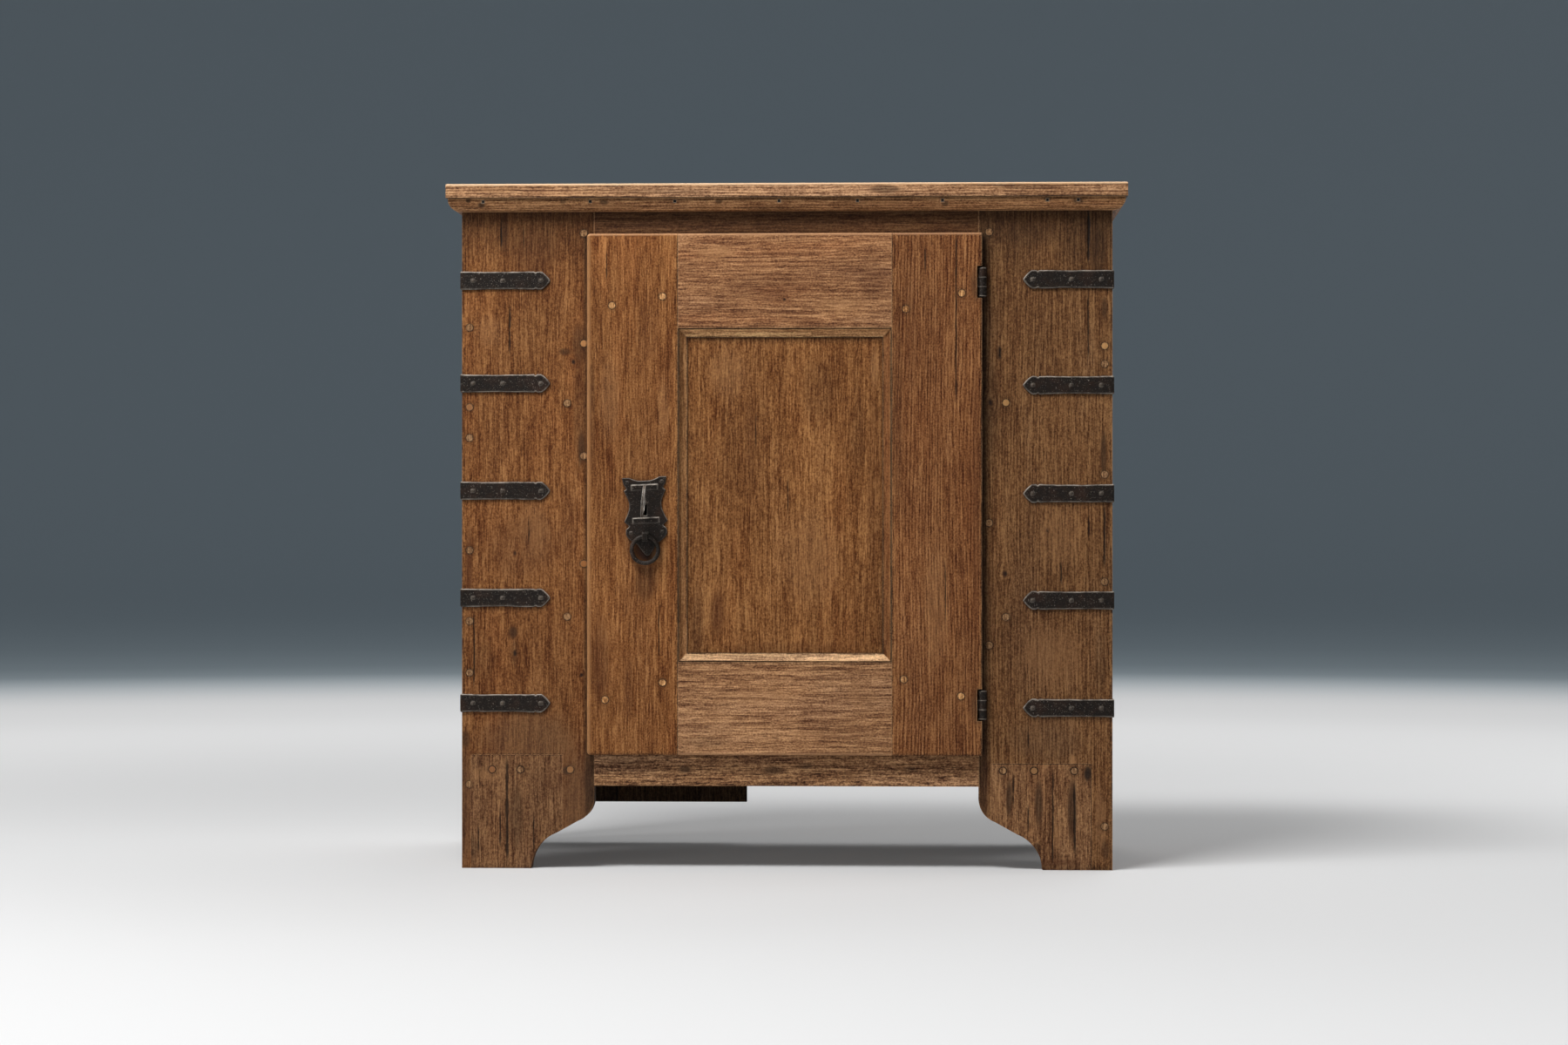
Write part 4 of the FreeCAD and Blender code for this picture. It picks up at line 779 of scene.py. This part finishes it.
def make_studio():
    """A round floor that sweeps up into a wall on every side."""
    profile = [(DISC_RADIUS, 0.0), (FLAT_RADIUS, 0.0)]
    for step in range(1, CURVE_STEPS + 1):
        angle = math.pi / 2 * step / CURVE_STEPS
        profile.append((FLAT_RADIUS + CURVE_RADIUS * math.sin(angle),
                        CURVE_RADIUS - CURVE_RADIUS * math.cos(angle)))
    profile.append((FLAT_RADIUS + CURVE_RADIUS, WALL_HEIGHT))
    build = bmesh.new()
    rows = []
    for radius, height in profile:
        angles = [math.tau * step / ROUND_STEPS for step in range(ROUND_STEPS)]
        rows.append([
            build.verts.new((radius * math.cos(angle), radius * math.sin(angle),
                             height - FLOOR_DROP))
            for angle in angles
        ])
    build.faces.new(rows[0])
    for low, high in zip(rows, rows[1:]):
        for step in range(ROUND_STEPS):
            after = (step + 1) % ROUND_STEPS
            build.faces.new((low[step], high[step], high[after], low[after]))
    mesh = smooth_mesh("studio_sweep", build)
    mesh.materials.append(studio_material())
    link("studio_sweep", mesh)


def lamp(name, place, aim, size, power):
    data = bpy.data.lights.new(name, "AREA")
    data.shape = "RECTANGLE"
    data.size, data.size_y = size
    data.energy = power
    item = link(name, data)
    item.location = place
    direction = Vector(aim) - Vector(place)
    item.rotation_euler = direction.to_track_quat("-Z", "Y").to_euler()


make_studio()
lamp("key_light", (-0.9, -1.45, 3.2), (0, -0.19, 0.45), (1.5, 0.8), 122)
lamp("side_light", (-2.6, -0.9, 1.5), (-0.2, -0.2, 0.6), (0.5, 1.4), 14)
lamp("fill_light", (-2.2, -3.4, 1.3), (0, 0, 0.5), (1.6, 1.6), 12)
lamp("back_light", (0.6, 1.6, 2.6), (0, 0, 0.6), (2.0, 1.4), 28)
lamp("right_light", (2.8, 0.9, 1.5), (0.45, 0.0, 0.45), (1.4, 1.4), 20)
SCENE.world = bpy.data.worlds.new("studio_world")
SCENE.world.use_nodes = True
sky = SCENE.world.node_tree.nodes["Background"].inputs
sky["Color"].default_value = (1, 1, 1, 1)
sky["Strength"].default_value = 0.12
SCENE.view_settings.view_transform = "Standard"


# Dressing of the boards

FRONT_BOARDS = {
    "front_stile_left": dict(mean=(119, 74, 37), centre=(-0.36, 0.05)),
    "front_stile_right": dict(mean=(107, 71, 40), centre=(0.9, 0.1), grey=0.3, red=0.1,
                              rings=0.16, ring=230, slope=0.01, waves=0.2),
    "foot_patch_left": dict(mean=(112, 76, 47), centre=(-0.40, 0.1), red=0.15),
    "foot_patch_right": dict(mean=(118, 81, 51), centre=(0.40, 0.1), red=0.15),
    # The top rail's dark tone is painted shade under the top board
    "front_rail_top": dict(mean=(88, 56, 30), grain="X", rings=0.12, ring=90),
    "front_rail_bottom": dict(mean=(134, 95, 63), grain="X", rings=0.12, grey=0.4,
                              contrast=1.3, pores=0.9, ring=90),
    "door_stile_lock": dict(mean=(125, 78, 39), centre=(-0.22, 0.07), red=0.3),
    "door_stile_hinge": dict(mean=(117, 72, 38), centre=(0.6, 0.1), rings=0.24, ring=270,
                             slope=0.01, contrast=1.1, waves=0.15),
    "door_rail_top": dict(mean=(140, 96, 62), grain="X", red=0.3, rings=0.08, pores=0.8),
    "door_rail_bottom": dict(mean=(148, 105, 70), grain="X", rings=0.1, pores=0.8),
    "door_panel": dict(mean=(121, 77, 39), centre=(0.0, 0.1), waves=1.2, rings=0.05,
                       pores=0.45),
    # The beads are one wood; their different tones are painted light and shade
    "door_bead_top": dict(mean=(198, 148, 100), grain="X", contrast=0.8),
    "door_bead_bottom": dict(mean=(184, 144, 104), grain="X", contrast=0.8),
    "door_bead_left": dict(mean=(140, 96, 58), contrast=0.8),
    "door_bead_right": dict(mean=(110, 69, 36), contrast=0.8),
    "top_board_front": dict(mean=(150, 108, 74), grain="X", contrast=0.9, pores=0.7,
                            rings=0.3, ring=260, waves=0.1, slope=0.01),
    "top_board_rear": dict(mean=(140, 102, 70), grain="X"),
    # The moulding's pale tone is painted light, lifting the shade below the top board
    "top_moulding_front": dict(mean=(154, 108, 70), grain="X", contrast=0.9, pores=0.7,
                               rings=0.3, ring=240, waves=0.1, slope=0.01),
}

# What is seen on each board: pixels of the photograph throughout. A crack is
# its place across, top, bottom and width in millimetres; a stain is its centre,
# reach both ways, colour and strength; a knot is its centre and size.
RUST = (74, 38, 18)
SOOT = (46, 29, 17)
PALE = (168, 122, 80)

CRACKS = {
    "front_stile_left": ((574, 244, 292, 0.9), (584, 346, 412, 1.0), (606, 590, 628, 0.6),
                         (543, 700, 795, 0.7), (600, 258, 286, 0.5)),
    "front_stile_right": ((1248.5, 236, 309, 1.3), (1267, 575, 656, 1.2),
                          (1249, 585, 622, 0.7), (1217.8, 641, 676, 0.8),
                          (1147.5, 398, 414, 1.0), (1248.5, 330, 420, 0.6),
                          (1180, 838, 862, 0.6)),
    "foot_patch_left": ((581, 868, 996, 1.6), (573, 925, 980, 0.8), (612, 930, 985, 0.6),
                        (548, 945, 985, 0.7)),
    "foot_patch_right": ((1163, 884, 930, 0.9), (1208, 880, 996, 0.7),
                         (1233, 892, 985, 1.1), (1180, 920, 960, 0.7)),
    "door_stile_lock": ((697, 284, 330, 0.5), (757, 690, 760, 0.5)),
    "door_stile_hinge": ((1062, 282, 318, 0.7), (1085, 640, 720, 0.5),
                         (1097.5, 266, 468, 0.7)),
    "door_panel": ((868, 470, 520, 0.5), (905, 545, 600, 0.5)),
}
STAINS = {
    "front_stile_left": (
        (606, 322, 44, 17, RUST, 0.5), (606, 441, 44, 17, RUST, 0.55),
        (606, 564, 44, 17, RUST, 0.5), (606, 687, 44, 17, RUST, 0.5),
        (606, 809, 44, 17, RUST, 0.55), (664, 395, 14, 40, SOOT, 0.5),
        (667, 515, 7, 34, SOOT, 0.65), (648, 404, 12, 7, SOOT, 0.6),
        (537, 648, 7, 75, RUST, 0.55), (590, 751, 8, 26, SOOT, 0.35),
        (612, 608, 30, 60, PALE, 0.25), (560, 380, 26, 30, PALE, 0.2),
        (652, 600, 18, 70, RUST, 0.25), (556, 760, 22, 40, SOOT, 0.2),
        (604, 852, 96, 60, (98, 72, 49), 0.5), (664, 925, 46, 110, (100, 72, 49), 0.6),
        (533, 930, 14, 120, (90, 62, 42), 0.6), (545, 888, 7, 13, (40, 30, 24), 0.7),
        (649, 886, 9, 9, (44, 33, 26), 0.6), (588, 727, 9, 13, SOOT, 0.75),
        # The long band at 664, 470 darkens the stile beside the door
        (664, 470, 12, 110, SOOT, 0.35), (533, 850, 9, 18, SOOT, 0.6),
        (578, 268, 8, 40, SOOT, 0.4), (612, 290, 50, 40, RUST, 0.3),
        (600, 628, 80, 56, (92, 56, 32), 0.3)),
    "front_stile_right": (
        (1198, 322, 44, 17, RUST, 0.4), (1198, 443, 44, 17, RUST, 0.45),
        (1198, 567, 44, 17, RUST, 0.4), (1198, 690, 44, 17, RUST, 0.45),
        (1198, 813, 44, 17, RUST, 0.45), (1266, 522, 6, 44, SOOT, 0.7),
        (1260, 290, 16, 50, SOOT, 0.5), (1140, 470, 12, 90, SOOT, 0.3),
        (1215, 620, 40, 60, PALE, 0.2), (1263, 760, 12, 60, SOOT, 0.25),
        (1137, 700, 12, 80, RUST, 0.2), (1147, 406, 5, 14, SOOT, 0.65),
        (1248, 272, 5, 40, SOOT, 0.4), (1267, 356, 6, 22, SOOT, 0.6),
        (1180, 270, 50, 26, SOOT, 0.25), (1200, 850, 70, 40, (96, 70, 48), 0.3),
        (1130, 900, 9, 90, RUST, 0.35), (1205, 755, 70, 60, (134, 94, 60), 0.4),
        (1232, 874, 6, 11, PALE, 0.65), (1262, 940, 10, 60, (140, 100, 66), 0.4),
        (1268, 975, 8, 18, SOOT, 0.5)),
    "foot_patch_left": ((556, 890, 26, 18, PALE, 0.35), (592, 940, 14, 60, SOOT, 0.45),
                        (536, 975, 20, 30, SOOT, 0.5), (640, 900, 30, 20, RUST, 0.3)),
    "foot_patch_right": ((1158, 917, 6, 36, SOOT, 0.75), (1192, 922, 8, 44, SOOT, 0.7),
                         (1230, 930, 9, 58, SOOT, 0.7), (1248, 888, 8, 15, (24, 18, 14), 0.9),
                         (1190, 974, 7, 11, SOOT, 0.6), (1210, 990, 44, 6, RUST, 0.5),
                         (1145, 925, 8, 40, PALE, 0.3), (1212, 960, 10, 30, PALE, 0.3)),
    "door_stile_lock": (
        # The first mark is the near-black wood inside the ring pull
        (742, 633, 21, 21, (16, 9, 5), 1.0), (738, 600, 44, 78, RUST, 0.42),
        (742, 668, 22, 40, SOOT, 0.45),
        (728, 560, 20, 20, SOOT, 0.35), (690, 762, 16, 90, RUST, 0.4),
        (722, 790, 10, 60, RUST, 0.3), (745, 380, 24, 60, RUST, 0.2),
        (700, 460, 20, 80, PALE, 0.22), (762, 470, 12, 60, PALE, 0.2),
        (680, 480, 7, 120, SOOT, 0.3), (756, 636, 16, 14, PALE, 0.25)),
    "door_stile_hinge": (
        (1120, 566, 8, 300, RUST, 0.35), (1031, 470, 9, 200, SOOT, 0.25),
        # The two marks at 1122 are painted shade in the hinge notches
        (1122, 328, 14, 34, SOOT, 0.55), (1122, 811, 14, 34, SOOT, 0.5),
        (1075, 700, 26, 120, PALE, 0.25), (1046, 380, 12, 90, RUST, 0.25)),
    "door_panel": (
        (824, 706, 14, 44, RUST, 0.5), (800, 720, 12, 70, SOOT, 0.25),
        (1003, 560, 12, 190, RUST, 0.25), (836, 430, 40, 50, PALE, 0.22),
        (930, 640, 60, 90, PALE, 0.2), (862, 500, 12, 90, RUST, 0.2),
        (940, 450, 34, 60, SOOT, 0.22), (985, 500, 16, 80, SOOT, 0.16),
        (900, 744, 110, 9, RUST, 0.2), (1004, 420, 9, 40, PALE, 0.3)),
    "door_rail_top": ((880, 330, 70, 24, RUST, 0.25), (820, 292, 40, 16, PALE, 0.4),
                      (965, 352, 50, 16, PALE, 0.3), (1000, 320, 26, 40, RUST, 0.25)),
    "door_rail_bottom": ((870, 800, 80, 16, PALE, 0.3), (960, 836, 60, 18, RUST, 0.2),
                         (812, 852, 40, 12, SOOT, 0.2), (990, 800, 34, 24, PALE, 0.2)),
    "front_rail_bottom": ((786, 884, 12, 7, SOOT, 0.7), (888, 885, 20, 8, SOOT, 0.6),
                          (925, 880, 14, 6, SOOT, 0.5), (1046, 884, 16, 6, SOOT, 0.5),
                          (720, 876, 40, 6, SOOT, 0.3)),
    "top_board_front": ((1016, 220, 30, 8, SOOT, 0.6), (566, 219, 44, 6, PALE, 0.4),
                        (760, 222, 90, 4, SOOT, 0.35), (1180, 218, 60, 5, SOOT, 0.3)),
    "top_moulding_front": ((538, 231, 5, 5, SOOT, 0.8), (553, 236, 7, 5, SOOT, 0.85),
                           (647, 232.5, 6, 4, SOOT, 0.6), (694, 233.5, 9, 5, SOOT, 0.7),
                           (826, 233, 7, 4, SOOT, 0.7), (1084.8, 236, 7, 5, SOOT, 0.7),
                           (1201.4, 231, 7, 5, SOOT, 0.8), (1236.2, 233, 10, 6, SOOT, 0.7),
                           (700, 238, 70, 4, PALE, 0.4),
                           (1000, 235, 80, 5, PALE, 0.35), (880, 240, 60, 3, SOOT, 0.3)),
}
KNOTS = {
    "front_stile_left": ((657.5, 415.7, 2.6, 3.6), (590, 635.7, 2.2, 3.2),
                         (590, 751, 2.4, 4.6), (667, 776, 2.4, 3.0)),
    "front_stile_right": ((1136.8, 463, 3.0, 5.0), (1153.5, 659, 3.4, 4.6),
                          (1201.7, 609.5, 2.2, 3.0)),
    "door_rail_top": ((901, 345, 2.2, 1.8),),
}
# Lines along a board's sides, as edge_lines takes them. The pale top and bottom door edges
# are wear with a painted highlight
WEAR_AND_HIGHLIGHT = (206, 156, 112)
LINES = {
    "foot_patch_left": (("t", 1.1, 0.6),),
    "foot_patch_right": (("t", 1.1, 0.6), ("tr", 1.4, 0.8)),
    "door_rail_top": (("lr", 1.3, 0.9), ("t", 4, 0.45, WEAR_AND_HIGHLIGHT)),
    "door_rail_bottom": (("lr", 1.3, 0.9), ("b", 4, 0.45, WEAR_AND_HIGHLIGHT)),
    # The lock stile's broad pale left edge is a painted highlight on the rounded edge
    "door_stile_lock": (("l", 6.5, 0.5, (184, 134, 88)), ("t", 4, 0.45, WEAR_AND_HIGHLIGHT),
                        ("r", 1.6, 0.9)),
    "door_stile_hinge": (("t", 4, 0.45, (196, 148, 108)), ("lr", 1.4, 0.9)),
    # The beads' dark lines are painted shade in the quirks and at the drop to the panel
    "door_bead_top": (("t", 2.5, 1.0), ("b", 1.7, 0.95)),
    "door_bead_bottom": (("b", 2.5, 1.0), ("t", 1.7, 0.95)),
    "door_bead_left": (("l", 2.5, 1.0), ("r", 1.7, 0.95)),
    "door_bead_right": (("r", 2.5, 1.0), ("l", 1.7, 0.95)),
}
# The sides where the boards of a side or of the top meet
JOINT_SIDES = {
    "top_board_front": "k", "top_board_rear": "f",
    "side_left_front_board": "k", "side_left_rear_board": "f",
    "side_right_front_board": "k", "side_right_rear_board": "f",
}
# Painted shadow on the wood, as fade takes it: below the top, beside the door, and along the
# panel's top and right edges
TOP_PAINTED_SHADE = {
    "front_stile_left": ("z", 240, 330, 0.46),
    "front_stile_right": ("z", 240, 330, 0.46),
    "front_rail_top": ("z", 244, 275, 0.7),
}
DOOR_PAINTED_SHADOW = {
    "front_stile_left": (("x", 673.5, 667, 0.42, 268),),
    "front_stile_right": (("x", 1129, 1139, 0.5, 268),),
    "door_panel": (("z", 384, 399, 0.6), ("x", 1017, 1007, 0.72)),
}
# Painted shade on the lower ends of the back planks, under the cabinet, and the joint above
# the left patch:
# its height, left and right
PLANK_PAINTED_SHADE = ("z", 918.5, 846.5, 0.4)
PATCH_SEAM = (868, 538, 647)
# Cracks are drawn this much wider than they measure, to read as they do there
CRACK_SWELL = 1.7
# Pegs seen end on are narrower than this across and up
PEG_LIMIT = 0.015
PEG_SPOTS = [
    ((low[0] + high[0]) / 2, (low[2] + high[2]) / 2)
    for node in ("carcass_pegs", "door_pegs") for low, high in lumps(node)
    if high[0] - low[0] < PEG_LIMIT and high[2] - low[2] < PEG_LIMIT
]


def mark_board(board, node):
    """What the photograph shows on a board: stains, painted shade in the hinge notches,
    cracks, pegs and a seam.
    """
    for stain in STAINS.get(node, ()):
        board.stain(*stain)
    for x, top, bottom, wide in CRACKS.get(node, ()):
        board.crack(x, top, bottom, mm(wide * CRACK_SWELL))
    (x0, _, z0), (x1, _, z1) = board.box
    inside = [(x, z) for x, z in PEG_SPOTS if x0 < x < x1 and z0 < z < z1]
    if inside and node in FRONT_BOARDS:
        board.pegs(inside)
    if node == "front_stile_left":
        board.seam(*PATCH_SEAM)


def shade_board(board, node):
    """Painted shadows and shade, joints and grime."""
    bead = node.startswith("door_bead")
    if node in TOP_PAINTED_SHADE:
        board.fade(*TOP_PAINTED_SHADE[node])
    if node.startswith("back_plank"):
        board.fade(*PLANK_PAINTED_SHADE)
        board.edge_lines("lr", 1.6, 0.85)
    if node in JOINT_SIDES:
        board.edge_lines(JOINT_SIDES[node], 1.4, 0.85)
    if node in FRONT_BOARDS and not (bead or node.startswith("foot_patch")):
        board.grime()
    for line in LINES.get(node, ()):
        board.edge_lines(*line)
    for fade in DOOR_PAINTED_SHADOW.get(node, ()):
        board.fade(*fade)
    # Painted shade from occlusion, with grime, in the joints, quirks and corners
    if bead:
        board.dirt_and_shade(0.003, 0.5)
    else:
        board.dirt_and_shade()


def wear_and_highlight_board(board, node):
    """Pale arrises, where hands and cloths have rubbed the front, and a painted highlight
    along the top board's front edge.
    """
    if node.startswith("top_board"):
        # A painted highlight over the rubbed front edge of the top board
        board.edge_lines("t", 3.6, 0.85, (226, 188, 148), deep=6)
        board.edge_lines("b", 1.2, 0.7)
    elif node.startswith("top_moulding"):
        board.worn(0.003, (206, 158, 112), 0.8)
    elif not node.startswith("foot_patch"):
        board.worn()


def dress_board(node, settings):
    board = Oak(node + "_oak", box=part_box(node), **settings)
    for x, y, wide, tall in KNOTS.get(node, ()):
        board.knot(*at(x, y), wide * PIXEL, tall * PIXEL)
    board.begin()
    mark_board(board, node)
    shade_board(board, node)
    if node in FRONT_BOARDS:
        wear_and_highlight_board(board, node)
    dress(node, board.finish())


def peg_wood(name, mean, pale=()):
    """End grain of the pegs: mostly brown, a few of them pale."""
    pegs = Oak(name, mean=mean, contrast=0.9, pores=0.3, rings=0.0).begin()
    for x, y, colour in pale:
        mask = pegs.falloff(*at(x, y), 0.009, 0.009)
        pegs.mark(pegs.n.span(mask, 0.0, 0.25), colour, 0.85)
    # Painted shade from occlusion, with grime, round the pegs' ends
    pegs.dirt_and_shade(0.004, 0.5)
    return pegs.finish(0.0003)


DOOR_PEGS = peg_wood("door_peg_oak", (176, 128, 80))
CARCASS_PEGS = peg_wood("carcass_peg_oak", (140, 104, 70), (
    (666.5, 394.7, (176, 124, 74)), (667, 647.8, (152, 98, 52)),
    (1268, 398.7, (186, 140, 88)), (1154.6, 464.1, (172, 128, 78)),
    (654, 884, (150, 104, 64)), (1186.6, 885, (150, 108, 68)),
    (563.5, 884, (140, 92, 56)), (535.1, 468, (146, 98, 60)),
))

for node in NODES:
    if node.startswith("corner_strap"):
        mesh = forged_mesh(node, amount=0.0005, voxel=0.0011)
        stand_in(node + "_forged", mesh, IRON_FORGED, "carcass", node)
plate = forged_mesh("lock_plate", amount=0.00025, voxel=0.0008, rubbed=0.0013, side=0.26)
stand_in("lock_plate_forged", plate, IRON_FORGED, "door", "lock_plate")
nail_domes("strap_nails", "strap_nail_heads")

METALS = {"key": STEEL, "plate_nails": DARK_IRON, "ring_staple": DARK_IRON}
PEG_WOODS = {"door_pegs": DOOR_PEGS, "carcass_pegs": CARCASS_PEGS}
# Wood that the photograph doesn't show: its colour, and how light each board is
INNER_OAK = (98, 70, 44)
OUTER_OAK = (112, 73, 41)
BOARD_SHADES = {"back_plank_1": 0.9, "back_plank_2": 1.12, "back_plank_3": 0.98,
                "back_plank_4": 1.08, "back_plank_5": 0.86, "side_left_rear_board": 0.92,
                "side_right_front_board": 1.06, "side_right_rear_board": 0.94}
# Widths of the soft arrises in millimetres
PLAIN_ARRIS = 0.7
METAL_ARRIS = 0.5
SOFT_ARRIS = {"top_board_front": 3.2, "top_board_rear": 1.6, "door_stile_lock": 1.6,
              "door_rail_top": 1.2, "door_rail_bottom": 1.2, "top_moulding_front": 1.0,
              "front_stile_left": 1.4, "front_stile_right": 1.4}


def unseen_board(node):
    """Settings of a board that isn't in the photograph, its grain lengthwise."""
    size = [high - low for low, high in zip(*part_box(node))]
    mean = INNER_OAK if SLOTS[node] == "inner_oak" else OUTER_OAK
    shade = BOARD_SHADES.get(node, 1)
    return dict(grain="XYZ"[size.index(max(size))],
                mean=tuple(channel * shade for channel in mean))


for node in NODES:
    if node.startswith("corner_strap") or node == "strap_nails":
        dress(node, IRON)
    elif node in PEG_WOODS or SLOTS[node] == "wrought_iron":
        dress(node, PEG_WOODS.get(node) or METALS.get(node, IRON))
        soften(node, METAL_ARRIS)
    else:
        dress_board(node, FRONT_BOARDS.get(node) or unseen_board(node))
        soften(node, SOFT_ARRIS.get(node, PLAIN_ARRIS))
